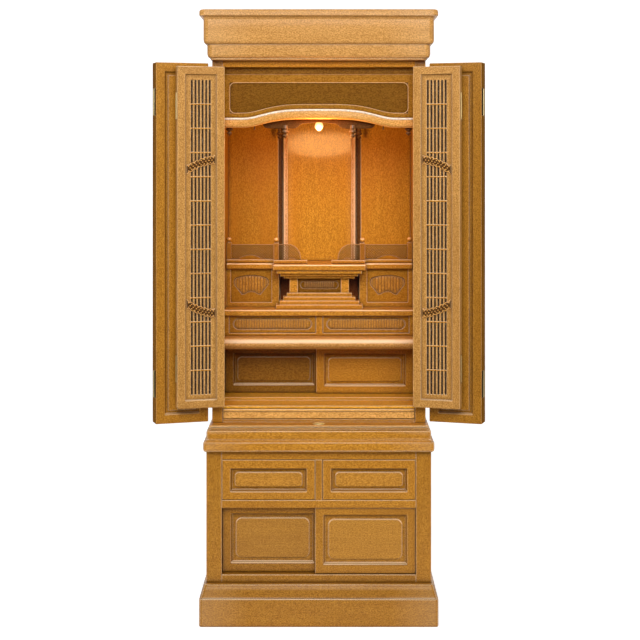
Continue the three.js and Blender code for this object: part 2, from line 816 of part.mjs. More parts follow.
function makeHead() {
  const friezeFront = front + FRIEZE_FRONT;
  const zFoot = zCeiling - FRIEZE_DROP;
  const outline = archShape(upperInner, zFoot, zCeiling, 1, 0, ARCH_STEPS);
  const sunkField = archShape(
    niche - FRIEZE_FIELD_BORDER,
    zLintel + LINTEL_BAND + FRIEZE_FIELD_FOOT,
    zCeiling - FRIEZE_BAND - FRIEZE_FIELD_HEAD,
    1,
    0,
    ARCH_STEPS,
  );
  place(
    "frieze",
    cut(
      facing(outline, friezeFront, friezeFront + FRIEZE_THICKNESS),
      board(
        -upperInner - 1,
        upperInner + 1,
        friezeFront - 1,
        friezeFront + FRIEZE_BAND_SINK,
        zCeiling - FRIEZE_BAND,
        zCeiling + 1,
      ),
      facing(sunkField, friezeFront - 1, friezeFront + FRIEZE_FIELD_SINK),
    ),
    darkWood,
  );

  const lintel = archShape(upperInner, zLintel, zLintel + LINTEL_BAND, 1, 1, ARCH_STEPS);
  place(
    "lintel",
    cut(
      facing(lintel, front + POST_DEPTH + CUT_GAP, front + LINTEL_BACK, LINTEL_BEVEL),
      facing(outline, friezeFront - CUT_GAP, friezeFront + FRIEZE_THICKNESS + CUT_GAP),
    ),
    lightWood,
  );
}

// The dark cusped valance behind the lintel, with its turned pendants
function makeValance() {
  const y0 = front + LINTEL_BACK + CUT_GAP;
  const y1 = y0 + VALANCE_THICKNESS;
  const half = VALANCE_WIDTH / 2;
  const zHead = zLintel + LINTEL_BAND;
  const zLobe = zLintel - 1;
  const zMiddle = zLintel + 12;
  const cusps = [
    [half, 12],
    [half - 9, 2],
    [half - 14, 0],
    [64, 0],
    [60, 3],
    [54, 4],
    [50, 9],
    [44, 10],
  ];
  const shape = new THREE.Shape();
  shape.moveTo(upperInner, zHead);
  shape.lineTo(upperInner, zLintel + 6);
  shape.lineTo(PENDANT_END_PLACE - 12, zLintel + 6);
  shape.lineTo(half + 20, zLintel + 14);
  for (const [x, z] of cusps) shape.lineTo(x, zLobe + z);
  shape.lineTo(0, zMiddle + 2);
  for (const [x, z] of cusps.toReversed()) shape.lineTo(-x, zLobe + z);
  shape.lineTo(-half - 20, zLintel + 14);
  shape.lineTo(-PENDANT_END_PLACE + 12, zLintel + 6);
  shape.lineTo(-upperInner, zLintel + 6);
  shape.lineTo(-upperInner, zHead);
  const pendant = [
    [0, -PENDANT_LENGTH],
    [PENDANT_RADIUS * 0.85, -PENDANT_LENGTH + 7],
    [PENDANT_RADIUS * 0.4, -PENDANT_LENGTH + 13],
    [PENDANT_RADIUS, -PENDANT_LENGTH + 20],
    [PENDANT_RADIUS * 0.6, -PENDANT_LENGTH + 27],
    [PENDANT_RADIUS * 0.6, 6],
    [0, 6],
  ];
  const middle = (y0 + y1) / 2;
  const hung = [];
  for (const [, sign] of SIDES) {
    hung.push(turned(pendant, sign * PENDANT_PLACE, middle, zLobe + 4));
    hung.push(turned(pendant, sign * PENDANT_END_PLACE, middle, zLintel + 10));
  }
  place("valance", join(facing(shape, y0, y1), ...hung), umberWood);
}

function makeBackPanels() {
  const half = BACK_CENTRE_WIDTH / 2;
  const y0 = front + BACK_CENTRE_FRONT;
  const edge = BACK_CENTRE_EDGE;
  const plan = [
    [-half, BACK_CENTRE_THICKNESS],
    [-half, edge],
    [-half + edge, 0],
    [-half + 3 * edge, BACK_CENTRE_SINK],
    [half - 3 * edge, BACK_CENTRE_SINK],
    [half - edge, 0],
    [half, edge],
    [half, BACK_CENTRE_THICKNESS],
  ];
  const at = (z) => plan.map(([x, y]) => [x, y0 + y, z]);
  place("back_panel_centre", prismOf(at(zAltarTop), at(zCeiling)), goldenWood);
  for (const [side, sign] of SIDES) {
    const ySide = front + BACK_SIDE_FRONT;
    const yBehind = ySide + BACK_SIDE_THICKNESS;
    place(
      "back_panel_" + side,
      sideBoard(sign, half + BACK_GAP, upperInner, ySide, yBehind, zAltarTop, zCeiling),
      goldenWood,
    );
  }
}

// A prism whose outline may be hollow-sided, from its lower ring to its upper one
function prismOf(lower, upper) {
  const outline = new THREE.Shape(lower.map(([x, y]) => new THREE.Vector2(x, y)));
  const geometry = new THREE.ExtrudeGeometry(outline, {
    depth: upper[0][2] - lower[0][2],
    bevelEnabled: false,
  });
  geometry.translate(0, 0, lower[0][2]);
  return solidOf(geometry);
}

function makeLamp() {
  const y = front + LAMP_PLACE;
  const zBulb = zLintel - 8;
  place(
    "lamp",
    join(
      rod(0, y, zBulb + LAMP_HEIGHT - 1, zCeiling, LAMP_ROD, 8),
      turned(
        [
          [0, 0],
          [LAMP_RADIUS * 0.7, 3],
          [LAMP_RADIUS, 12],
          [LAMP_RADIUS * 0.8, 24],
          [LAMP_RADIUS * 0.8, LAMP_HEIGHT],
          [0, LAMP_HEIGHT],
        ],
        0,
        y,
        zBulb,
        10,
      ),
    ),
    lampGlass,
  );
}

// Shallow upright ribs between two places, sunk to either side of a raised cartouche
function ribs(x0, x1, count, y0, y1, z0, z1) {
  const pitch = (x1 - x0) / count;
  return Array.from({ length: count - 1 }, (_, i) => {
    const x = x0 + pitch * (i + 1);
    return board(x - pitch * 0.16, x + pitch * 0.16, y0, y1, z0, z1);
  });
}

function pillCartouche(x0, x1, z0, z1, yFace, sink, count) {
  const radius = (z1 - z0) / 2;
  const groove = facing(panelShape(x0, x1, z0, z1, radius - 0.01), yFace - 1, yFace + sink, 0, 3);
  const inset = 2;
  const field = cut(
    facing(
      panelShape(x0 + inset, x1 - inset, z0 + inset, z1 - inset, radius - inset - 0.01),
      yFace + 1,
      yFace + sink + 1,
      0,
      3,
    ),
    ribs(x0 + radius, x1 - radius, count, yFace, yFace + 1.8, z0 - 1, z1 + 1),
  );
  return { groove, field };
}

function makeSteps() {
  const y0 = front + STEP_CASE_FRONT;
  const y1 = front + INNER_DEPTH;
  const stile = STILE_WIDTH / 2;
  place(
    "step_case",
    join(
      board(-upperInner, upperInner, y0, y1, zStepCase, zStepCase + STEP_CASE_BASE),
      board(-stile, stile, y0, y1, zStepCase, zStepShelf),
      ...SIDES.map(([, sign]) =>
        sideBoard(sign, upperInner - STEP_CHEEK, upperInner, y0, y1, zStepCase, zStepShelf),
      ),
    ),
    goldenWood,
  );
  const round = STEP_SHELF_ROUND;
  const slab = new THREE.Shape();
  slab.moveTo(front + STEP_SHELF_FRONT, zStepShelf);
  slab.lineTo(y1, zStepShelf);
  slab.lineTo(y1, zAltar);
  slab.lineTo(front + STEP_SHELF_FRONT + round, zAltar);
  slab.absarc(front + STEP_SHELF_FRONT + round, zAltar - round, round, Math.PI / 2, Math.PI, false);
  place("step_shelf", running(slab, -upperInner, upperInner, 3), goldenWood);

  const nose = NOSING_THICKNESS / 2;
  const shelf = new THREE.Shape();
  shelf.moveTo(front + NOSING_FRONT + nose, zNosing);
  shelf.lineTo(y1, zNosing);
  shelf.lineTo(y1, zStepCase);
  shelf.lineTo(front + NOSING_FRONT + nose, zStepCase);
  shelf.absarc(front + NOSING_FRONT + nose, zNosing + nose, nose, Math.PI / 2, 1.5 * Math.PI, false);
  place("nosing_shelf", running(shelf, -upperInner, upperInner, 8), goldenWood);

  const z0 = STEP_CASE_BASE + SLIDE_GAP;
  const z1 = STEP_CASE_HEIGHT - SLIDE_GAP;
  const width = upperInner - STEP_CHEEK - stile - 2 * SLIDE_GAP;
  for (const [side, sign] of SIDES) {
    const group = new THREE.Group();
    group.position.set(sign * (stile + SLIDE_GAP + width / 2), y0 + STEP_DRAWER_SINK, zStepCase);
    const half = width / 2;
    const { groove, field } = pillCartouche(
      -half + STEP_PILL.side,
      half - STEP_PILL.side,
      z0 + STEP_PILL.bottom,
      z1 - STEP_PILL.top,
      0,
      STEP_PILL.sink,
      STEP_PILL.ribs,
    );
    const face = join(cut(board(-half, half, 0, STEP_DRAWER_FRONT, z0, z1), groove), field);
    const box = drawerBox(
      -half,
      half,
      STEP_DRAWER_FRONT - LAP,
      STEP_DRAWER_DEPTH,
      z0,
      z1 - STEP_DRAWER_DROP,
      STEP_DRAWER_WALL,
    );
    place("step_drawer_" + side, join(face, box), goldenWood, group);
    cabinet.add(group);
  }
}

function makeShelfDoors() {
  const z0 = zSill + SLIDE_GAP;
  const z1 = zNosing - SLIDE_GAP;
  const width = upperInner + SHELF_DOOR_OVERLAP / 2 - SLIDE_GAP;
  SIDES.forEach(([side, sign], track) => {
    const group = new THREE.Group();
    const step = track === 1 ? 0 : SHELF_DOOR_THICKNESS + DOOR_TRACK_GAP;
    group.position.set(
      sign * (upperInner - SLIDE_GAP - width / 2),
      front + SHELF_DOOR_FRONT + step,
      0,
    );
    const door = framedPanel({
      x0: -width / 2,
      x1: width / 2,
      z0,
      z1,
      thickness: SHELF_DOOR_THICKNESS,
      ...SHELF_DOOR_FRAME,
    });
    place("shelf_door_" + side, door, goldenWood, group);
    cabinet.add(group);
  });
}

// Blocks stacked in steps, each given by its half width, how far its front stands back, and its height
function steppedStack(rows, y0, y1, z0) {
  let z = z0;
  return rows.map(([half, inset, height], i) => {
    const foot = i === 0 ? z : z - LAP;
    z += height;
    return board(-half, half, y0 + inset, y1, foot, z);
  });
}

function makeAltar() {
  const y1 = front + INNER_DEPTH;
  const zSlab = zAltarTop - ALTAR_SLAB;
  const slabHalf = ALTAR_WIDTH / 2;
  const plan = [
    [-upperInner, INNER_DEPTH],
    [-upperInner, WING_FRONT],
    [-slabHalf, WING_FRONT],
    [-slabHalf, ALTAR_FRONT],
    [slabHalf, ALTAR_FRONT],
    [slabHalf, WING_FRONT],
    [upperInner, WING_FRONT],
    [upperInner, INNER_DEPTH],
  ];
  const at = (z) => plan.map(([x, depth]) => [x, front + depth, z]);
  place("altar_top", prismOf(at(zSlab), at(zAltarTop)), goldenWood);

  const base = PEDESTAL_BASE_WIDTH / 2;
  const lowHeight = PEDESTAL_LOW_STEPS.reduce((a, b) => a + b);
  const highHeight = PEDESTAL_HIGH_STEPS.reduce((a, b) => a + b);
  const waistHalf = base - PEDESTAL_STEP * PEDESTAL_LOW_STEPS.length + 2;
  const waistHeight = zSlab - zAltar - lowHeight - highHeight;
  const yFront = front + PEDESTAL_FRONT;
  const yBack = yFront + PEDESTAL_DEPTH;
  const rows = [
    ...PEDESTAL_LOW_STEPS.map((height, i) => [base - PEDESTAL_STEP * i, PEDESTAL_STEP * i, height]),
    [waistHalf, WAIST_INSET, waistHeight],
    ...PEDESTAL_HIGH_STEPS.map((height, i) => {
      const inward = PEDESTAL_STEP * (PEDESTAL_HIGH_STEPS.length - 1 - i);
      return [base - PEDESTAL_HEAD_INSET - inward, PEDESTAL_STEP / 2 + inward, height];
    }),
  ];
  const stack = join(steppedStack(rows, yFront, yBack, zAltar));
  const zWaist = zAltar + lowHeight;
  const yWaist = yFront + WAIST_INSET;
  const recess = board(
    -WAIST_PANEL / 2,
    WAIST_PANEL / 2,
    yWaist - 1,
    yWaist + WAIST_SINK,
    zWaist + 1,
    zWaist + waistHeight - 1,
  );
  const { groove, field } = pillCartouche(
    -WAIST_PILL.width / 2,
    WAIST_PILL.width / 2,
    zWaist + WAIST_PILL.bottom,
    zWaist + waistHeight - WAIST_PILL.top,
    yWaist + WAIST_SINK,
    WAIST_PILL.sink,
    WAIST_PILL.ribs,
  );
  place("altar_pedestal", join(cut(stack, recess, groove), field), goldenWood);

  for (const [side, sign] of SIDES) makeWing(side, sign, zSlab);
}

// The fan outline of a wing's cartouche about its middle: round top, tapered sides, scalloped foot
function fanShape(cx, cz, half, height, shrink) {
  const w = half - shrink;
  const top = cz + height / 2 - shrink;
  const foot = cz - height / 2 + shrink;
  const shape = new THREE.Shape();
  shape.moveTo(cx - w * 0.52, foot);
  shape.quadraticCurveTo(cx - w * 0.3, foot + 1, cx - w * 0.26, foot + height * 0.1);
  shape.quadraticCurveTo(cx, foot + height * 0.2, cx + w * 0.26, foot + height * 0.1);
  shape.quadraticCurveTo(cx + w * 0.3, foot + 1, cx + w * 0.52, foot);
  shape.lineTo(cx + w * 0.94, cz);
  shape.quadraticCurveTo(cx + w * 1.04, top - height * 0.16, cx + w * 0.8, top - height * 0.1);
  shape.quadraticCurveTo(cx, top + height * 0.14, cx - w * 0.8, top - height * 0.1);
  shape.quadraticCurveTo(cx - w * 1.04, top - height * 0.16, cx - w * 0.94, cz);
  return shape;
}

function makeWing(side, sign, zSlab) {
  const y0 = front + WING_CASE_FRONT;
  const y1 = y0 + WING_DEPTH;
  const ySunk = y0 + WING_SINK;
  const zFoot = zAltar + WING_FOOT_RAIL;
  const outer = sideBoard(sign, WING_INNER, upperInner, y0, y1, zAltar, zSlab);
  const hollow = sideBoard(
    sign,
    WING_INNER + BOARD_THICKNESS,
    upperInner - BOARD_THICKNESS,
    y0 + WING_WALL,
    y1 + 1,
    zAltar - 1,
    zSlab + 1,
  );
  const [inner, outerEnd] = [WING_INNER + WING_STILE, upperInner - WING_END_STILE];
  const sunk = sideBoard(sign, inner, outerEnd, y0 - 1, ySunk, zFoot, zSlab + 1);
  const cx = (sign * (inner + outerEnd)) / 2;
  const cz = zFoot + (zSlab - zFoot) * 0.52;
  const groove = facing(
    fanShape(cx, cz, FAN_HALF, FAN_HEIGHT, 0),
    ySunk - 1,
    ySunk + FAN_SINK,
    0,
    5,
  );
  const field = cut(
    facing(fanShape(cx, cz, FAN_HALF, FAN_HEIGHT, FAN_BORDER), ySunk, ySunk + FAN_SINK + 1, 0, 5),
    ribs(cx - FAN_HALF, cx + FAN_HALF, FAN_RIBS, ySunk - 1, ySunk + FAN_SINK / 2, zAltar, zSlab),
  );
  place("altar_side_" + side, join(cut(outer, hollow, sunk, groove), field), goldenWood);
}

function makeRailings() {
  const z0 = zAltarTop;
  const zBase = z0 + BASE_BOARD_HEIGHT;
  const zTop = zBase + RAILING_HEIGHT;
  for (const [side, sign] of SIDES) {
    const yOuter = front + OUTER_RAILING_FRONT;
    const outerEnd = upperInner - OUTER_RAILING_MARGIN;
    const inner = INNER_POST_PLACE + POST_SIZE / 2 + RAILING_GAP;
    const x0 = Math.min(sign * inner, sign * outerEnd);
    const x1 = Math.max(sign * inner, sign * outerEnd);
    const panel = new THREE.Shape();
    const middle = (x0 + x1) / 2;
    panel.moveTo(x0, zBase - 1);
    panel.lineTo(middle - OUTER_ARCH_HALF, zBase - 1);
    panel.lineTo(middle - OUTER_ARCH_HALF, zBase + 1);
    panel.quadraticCurveTo(middle, zBase + OUTER_ARCH_RISE, middle + OUTER_ARCH_HALF, zBase + 1);
    panel.lineTo(middle + OUTER_ARCH_HALF, zBase - 1);
    panel.lineTo(x1, zBase - 1);
    panel.lineTo(x1, zTop);
    panel.lineTo(x0, zTop);
    const yPanel = yOuter + RAILING_SETBACK;
    place(
      "railing_outer_" + side,
      join(
        board(x0, x1, yOuter, yOuter + RAILING_BASE_DEPTH, z0, zBase),
        facing(panel, yPanel, yPanel + RAILING_THICKNESS, 0, 8),
        railPost(sign * (outerEnd - POST_SIZE / 2), yPanel + RAILING_THICKNESS / 2, zBase),
      ),
      goldenWood,
    );
    const yInner = front + INNER_RAILING_FRONT;
    const yFace = yInner + RAILING_SETBACK;
    const near = INNER_POST_PLACE - POST_SIZE / 2 + 1;
    const wing = new THREE.Shape();
    wing.moveTo(sign * near, zBase - 1);
    wing.lineTo(sign * INNER_PANEL_END, zBase - 1);
    wing.lineTo(sign * INNER_PANEL_END, zBase + 3);
    for (let i = 1; i <= 6; i += 1) {
      const t = (i / 6) * (Math.PI / 2);
      const x = INNER_PANEL_END + INNER_PANEL_SWEEP * (1 - Math.cos(t));
      wing.lineTo(sign * x, zBase + 3 + (RAILING_HEIGHT - 3) * Math.sin(t));
    }
    wing.lineTo(sign * near, zTop);
    place(
      "railing_inner_" + side,
      join(
        sideBoard(
          sign,
          INNER_BASE_END,
          INNER_POST_PLACE + POST_SIZE / 2,
          yInner,
          yInner + RAILING_BASE_DEPTH,
          z0,
          zBase,
        ),
        facing(wing, yFace, yFace + RAILING_THICKNESS, 0, 8),
        railPost(sign * INNER_POST_PLACE, yFace + RAILING_THICKNESS / 2, zBase),
      ),
      goldenWood,
    );
  }
}

// A square post with a turned neck and a ball
function railPost(x, y, z) {
  const half = POST_SIZE / 2;
  const ball = [[0, -3], [BALL_RADIUS * 0.55, -3], [BALL_RADIUS * 0.45, 1.5]];
  for (let i = 1; i <= 5; i += 1) {
    const t = -Math.PI / 2 + (i / 5) * Math.PI * 0.9 + 0.25;
    ball.push([BALL_RADIUS * Math.cos(t), 1 + BALL_RADIUS + BALL_RADIUS * Math.sin(t)]);
  }
  ball.push([0, 1 + 2 * BALL_RADIUS]);
  return join(
    board(x - half, x + half, y - half, y + half, z - 1, z + POST_HEIGHT),
    turned(ball, x, y, z + POST_HEIGHT),
  );
}

// The hinge of a fold, about its pin at the origin: a barrel, and a plate let into the end of the first leaf.
// The leaf lies towards -X of the pin, and its thickness runs towards inward (+1 or -1) in y.
function foldHinge(z0, thickness, inward) {
  const yPlate = [inward * (FOLD_PROUD + 1.5), inward * (FOLD_PROUD + thickness - 3)];
  return join(
    rod(0, 0, z0, z0 + HINGE_LENGTH, BARREL_RADIUS, 8),
    board(
      -LEAF_JOINT / 2 - PLATE_THICKNESS,
      -LEAF_JOINT / 2,
      Math.min(...yPlate),
      Math.max(...yPlate),
      z0,
      z0 + HINGE_LENGTH,
    ),
  );
}

// Cuts for the barrel and the plate of each fold hinge, where the pin is at pinX, pinY
function hingeCuts(pinX, pinY, height, thickness, inward, withPlate) {
  return [HINGE_INSET, height - HINGE_INSET - HINGE_LENGTH].flatMap((z0) => {
    const barrel = rod(pinX, pinY, z0 - 1, z0 + HINGE_LENGTH + 1, BARREL_RADIUS + 0.8, 8);
    if (!withPlate) return [barrel];
    const ends = [0, inward * (FOLD_PROUD + thickness - 3 + CUT_GAP)];
    const plate = board(
      pinX - LEAF_JOINT / 2 - PLATE_THICKNESS - CUT_GAP,
      pinX,
      pinY + Math.min(...ends),
      pinY + Math.max(...ends),
      z0 - CUT_GAP,
      z0 + HINGE_LENGTH + CUT_GAP,
    );
    return [barrel, plate];
  });
}

// A panelled leaf, its outer face at y = 0, its lower corner at the origin
function makeOuterLeaf(width, height) {
  const thickness = OUTER_THICKNESS;
  const slab = board(0, width, 0, thickness, 0, height);
  const sink = 5;
  const [a, b] = [OUTER_STILE, width - OUTER_STILE];
  const faceCut = pyramidField(a - 3, b + 3, a - 3, height - a + 3, -1, sink, 5);
  const backCut = faceCut.mirror([0, 1, 0]).translate([0, thickness, 0]);
  const groove = 8;
  const field = facing(
    panelShape(a + groove, b - groove, a + groove, height - a - groove, 0),
    1.5,
    thickness - 1.5,
    1.5,
    2,
  );
  return join(cut(slab, faceCut, backCut), field);
}

// A lattice leaf with long upright slots, its outer face at y = 0
function makeLatticeLeaf(width, height, ornament) {
  const thickness = LATTICE_THICKNESS;
  const [a, b] = [LATTICE_STILE, width - LATTICE_STILE];
  const slab = board(0, width, 0, thickness, 0, height);
  const faceCut = pyramidField(a - 1, b + 1, a - 1, height - a + 1, -1, LATTICE_SINK, 1.5);
  const backCut = pyramidField(a - 1, b + 1, a - 1, height - a + 1, -1, 2, 1.5)
    .mirror([0, 1, 0])
    .translate([0, thickness, 0]);
  const slots = Array.from({ length: SLOT_COLUMNS }, (_, column) => {
    const x = width / 2 + (column - (SLOT_COLUMNS - 1) / 2) * SLOT_PITCH;
    return board(
      x - SLOT_WIDTH / 2,
      x + SLOT_WIDTH / 2,
      LATTICE_SINK - 1,
      LATTICE_SINK + SLOT_DEPTH,
      a + SLOT_BORDER,
      height - a - SLOT_BORDER,
    );
  });
  const leaf = cut(slab, faceCut, backCut, slots);
  return ornament ? join(leaf, ORNAMENTS.map((band) => ornamentBand(width, height, band))) : leaf;
}

function ornamentBand(width, height, { share, turn }) {
  const steps = 6;
  const x0 = (width - ORNAMENT_WIDTH) / 2;
  const z0 = height * share;
  const lift = (t) => turn * ORNAMENT_RISE * (Math.sin((t * Math.PI) / 2) - 0.5);
  const half = (t) => (ORNAMENT_HEIGHT / 2) * (0.86 + 0.14 * Math.cos(t * steps * 2 * Math.PI));
  const shape = new THREE.Shape();
  const count = steps * 2;
  for (let i = 0; i <= count; i += 1) {
    const t = i / count;
    const [x, z] = [x0 + ORNAMENT_WIDTH * t, z0 + lift(t) - half(t)];
    if (i === 0) shape.moveTo(x, z);
    else shape.lineTo(x, z);
  }
  for (let i = count; i >= 0; i -= 1) {
    const t = i / count;
    shape.lineTo(x0 + ORNAMENT_WIDTH * t, z0 + lift(t) + half(t));
  }
  return facing(shape, LATTICE_SINK - ORNAMENT_PROUD, LATTICE_SINK + LAP);
}

function makeDoors() {
  const outerHeight = UPPER_HEIGHT - OUTER_FOOT_GAP - OUTER_HEAD_GAP;
  const outerWidth = (upperHalf + OUTER_OVERHANG - LEAF_MEETING / 2 - LEAF_JOINT) / 2;
  const latticeHeight = zHeader - LATTICE_HEAD_GAP - zFloor - LATTICE_FOOT_GAP;
  const latticeEdge = 1;
  const latticeWidth =
    (niche - LATTICE_PIN_IN - latticeEdge - LEAF_MEETING / 2 - LEAF_JOINT) / 2;
  for (const [side, sign] of SIDES) {
    const half = new THREE.Group(); // built as the left side, mirrored for the right
    if (sign > 0) half.scale.x = -1;
    cabinet.add(half);

    const outer = new THREE.Group();
    outer.position.set(-(upperHalf + OUTER_OVERHANG + OUTER_PIN_OUT), front, zUpper + OUTER_FOOT_GAP);
    outer.rotation.z = -THREE.MathUtils.degToRad(OUTER_OPEN);
    half.add(outer);
    const pinX = OUTER_PIN_OUT + outerWidth + LEAF_JOINT / 2;
    const pinY = -(DOOR_GAP + OUTER_THICKNESS + FOLD_PROUD);
    const bare = makeOuterLeaf(outerWidth, outerHeight);
    const main = bare.translate([OUTER_PIN_OUT, -DOOR_GAP - OUTER_THICKNESS, 0]);
    place(
      "outer_leaf_" + side,
      cut(main, hingeCuts(pinX, pinY, outerHeight, OUTER_THICKNESS, 1, true)),
      goldenWood,
      outer,
    );
    const outerFold = new THREE.Group();
    outerFold.position.set(pinX, pinY, 0);
    outerFold.rotation.z = -Math.PI;
    outer.add(outerFold);
    place(
      "outer_fold_leaf_" + side,
      cut(
        bare.translate([LEAF_JOINT / 2, FOLD_PROUD, 0]),
        hingeCuts(0, 0, outerHeight, OUTER_THICKNESS, 1, false),
      ),
      goldenWood,
      outerFold,
    );

    const lattice = new THREE.Group();
    lattice.position.set(-niche + LATTICE_PIN_IN, front - 1, zFloor + LATTICE_FOOT_GAP);
    lattice.rotation.z = -THREE.MathUtils.degToRad(LATTICE_OPEN);
    half.add(lattice);
    const foldX = latticeEdge + latticeWidth + LEAF_JOINT / 2;
    const foldY = 1 + LATTICE_THICKNESS + FOLD_PROUD;
    place(
      "lattice_leaf_" + side,
      cut(
        makeLatticeLeaf(latticeWidth, latticeHeight, false).translate([latticeEdge, 1, 0]),
        hingeCuts(foldX, foldY, latticeHeight, LATTICE_THICKNESS, -1, true),
      ),
      goldenWood,
      lattice,
    );
    const latticeFold = new THREE.Group();
    latticeFold.position.set(foldX, foldY, 0);
    latticeFold.rotation.z = Math.PI;
    lattice.add(latticeFold);
    place(
      "lattice_fold_leaf_" + side,
      cut(
        makeLatticeLeaf(latticeWidth, latticeHeight, true).translate([
          LEAF_JOINT / 2,
          -FOLD_PROUD - LATTICE_THICKNESS,
          0,
        ]),
        hingeCuts(0, 0, latticeHeight, LATTICE_THICKNESS, -1, false),
      ),
      goldenWood,
      latticeFold,
    );

    const hinged = [
      ["outer_hinge", outer, pinX, pinY, outerHeight, OUTER_THICKNESS, 1],
      ["lattice_hinge", lattice, foldX, foldY, latticeHeight, LATTICE_THICKNESS, -1],
    ];
    for (const [name, leaf, x, y, height, thickness, inward] of hinged) {
      const places = [
        ["low", HINGE_INSET],
        ["high", height - HINGE_INSET - HINGE_LENGTH],
      ];
      for (const [level, z] of places) {
        const hinge = place([name, level, side].join("_"), foldHinge(0, thickness, inward), brass, leaf);
        hinge.position.set(x, y, z);
      }
    }
  }
}

place("plinth", makePlinth(), goldenWood);
makeLowerBody();
makeDrawers();
makeCupboardDoors();
makeLedge();
makeTray();
makeUpperBody();
makeCap();
makeHead();
makeValance();
makeBackPanels();
makeLamp();
makeSteps();
makeShelfDoors();
makeAltar();
makeRailings();
makeDoors();

export default cabinet;
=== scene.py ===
"""Household altar cabinet: finishes, carving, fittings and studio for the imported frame.

Everything is in metres in the cabinet's own frame: +Z up, the front faces -Y, and the origin is
the middle of the plinth's underside.
"""

import json
import math

import bpy
from mathutils import Matrix, Vector


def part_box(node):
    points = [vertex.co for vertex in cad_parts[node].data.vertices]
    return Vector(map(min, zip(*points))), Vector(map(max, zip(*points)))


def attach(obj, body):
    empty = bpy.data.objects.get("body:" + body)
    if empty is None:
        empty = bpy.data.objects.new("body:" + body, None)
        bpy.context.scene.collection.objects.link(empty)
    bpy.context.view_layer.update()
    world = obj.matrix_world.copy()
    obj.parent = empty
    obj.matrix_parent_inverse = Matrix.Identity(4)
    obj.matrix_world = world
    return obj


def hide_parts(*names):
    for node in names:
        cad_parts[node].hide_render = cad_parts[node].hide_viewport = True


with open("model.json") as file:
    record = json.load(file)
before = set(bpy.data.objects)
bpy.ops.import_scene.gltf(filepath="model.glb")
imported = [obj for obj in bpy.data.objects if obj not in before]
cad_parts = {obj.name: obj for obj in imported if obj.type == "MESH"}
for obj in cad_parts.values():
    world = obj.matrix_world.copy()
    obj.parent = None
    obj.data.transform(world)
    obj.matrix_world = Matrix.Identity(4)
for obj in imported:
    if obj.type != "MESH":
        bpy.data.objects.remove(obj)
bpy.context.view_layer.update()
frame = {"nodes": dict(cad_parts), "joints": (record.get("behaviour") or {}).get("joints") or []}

bl_info = {
    "name": "Altar cabinet looks",
    "version": (1, 0, 0),
    "blender": (4, 5, 0),
    "location": "3D View > Sidebar > Cabinet",
    "description": "Wood, fretwork, reeding, pendants, hinges and studio of an altar cabinet",
    "category": "Object",
}

MM = 0.001
CABINET = "cabinet"
SIDES = (("left", -1), ("right", 1))
JOINTS = {joint["name"]: joint for joint in frame["joints"]}

FRONT = -200 * MM  # front plane of the upper posts
PANEL_GAP = 0.05 * MM  # between a laid-on piece and the board that carries it

OUTER_THICKNESS = 22 * MM

# The lattice leaves, as their solids are cut
LATTICE_THICKNESS = 15 * MM
LATTICE_STILE = 22 * MM
LATTICE_SINK = 3.5 * MM
SLOT_COLUMNS = 6
SLOT_PITCH = 9.7 * MM
SLOT_WIDTH = 4.8 * MM
SLOT_DEPTH = 4 * MM
SLOT_BORDER = 14.5 * MM
LEAF_JOINT = 1 * MM
FOLD_PROUD = 0.5 * MM

# The carved bands on the middle lattice leaves
ORNAMENTS = ((0.712, 1), (0.291, -1))
ORNAMENT_WIDTH = 76 * MM
ORNAMENT_HEIGHT = 24 * MM
ORNAMENT_RISE = 26 * MM
ORNAMENT_PROUD = 2.5 * MM


def tall(node):
    """Lowest and highest z of a CAD node."""
    low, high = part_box(node)
    return low.z, high.z


def colour_of(name, description, default):
    return bpy.props.FloatVectorProperty(
        name=name, description=description, subtype="COLOR", size=3, min=0, max=1, default=default)


def share_of(name, description, default):
    return bpy.props.FloatProperty(
        name=name, description=description, subtype="FACTOR", min=0, max=1, default=default)


def length_of(name, description, low, high, default):
    return bpy.props.FloatProperty(
        name=name, description=description, subtype="DISTANCE", unit="LENGTH",
        min=low, max=high, default=default)


def power_of(name, description, high, default):
    return bpy.props.FloatProperty(
        name=name, description=description, subtype="POWER", unit="POWER",
        min=0, max=high, default=default)


class WoodSettings(bpy.types.PropertyGroup):
    golden: colour_of("Golden", "Main lacquered wood", (0.57, 0.246, 0.022))
    pale: colour_of("Pale", "Lintel, floor and tray", (0.66, 0.33, 0.080))
    amber: colour_of("Amber", "Boards lit by the lamp", (0.57, 0.265, 0.018))
    dark: colour_of("Dark", "Rear boards, posts and sunken fields", (0.25, 0.102, 0.010))
    umber: colour_of("Umber", "Dark carving", (0.10, 0.042, 0.010))
    figure: share_of("Figure", "Strength of the broad grain", 0.32)
    pores: share_of("Pores", "Strength of the fine grain", 0.38)
    # strength of the painted shade in corners, in gaps between parts and under downward arrises
    shade_depth: share_of("Crevices", "Depth of the shading left in corners", 0.8)
    # strength and colour of the painted highlight on arrises that face up or aside
    edges: share_of("Edges", "Paleness of the rubbed arrises", 0.8)
    highlight_colour: colour_of("Highlighted edge", "Colour of the rubbed arrises", (0.95, 0.70, 0.44))
    gloss: share_of("Roughness", "Roughness of the satin lacquer", 0.42)
    rounding: length_of("Rounding", "Radius of the eased edges", 0.1 * MM, 3 * MM, 1.1 * MM)


class FittingSettings(bpy.types.PropertyGroup):
    brass: colour_of("Brass", "Hinges, lamp holder and catch", (0.83, 0.62, 0.27))
    gauze: colour_of("Gauze", "Cloth behind the lattice", (0.034, 0.021, 0.013))
    rows: bpy.props.IntProperty(
        name="Lattice rows", description="Rows of openings in a lattice leaf",
        min=2, max=30, default=13)
    bar: length_of("Lattice bar", "Height of a cross bar", 1 * MM, 10 * MM, 3.8 * MM)
    fret_pitch: length_of(
        "Fret pitch", "Distance of the railing's fretwork bars", 3 * MM, 20 * MM, 7.2 * MM)


class LampSettings(bpy.types.PropertyGroup):
    colour: colour_of("Lamp colour", "Colour of the lamp's light", (1.0, 0.52, 0.17))
    power: power_of("Lamp power", "Light of the lamp in the niche", 50, 3.0)


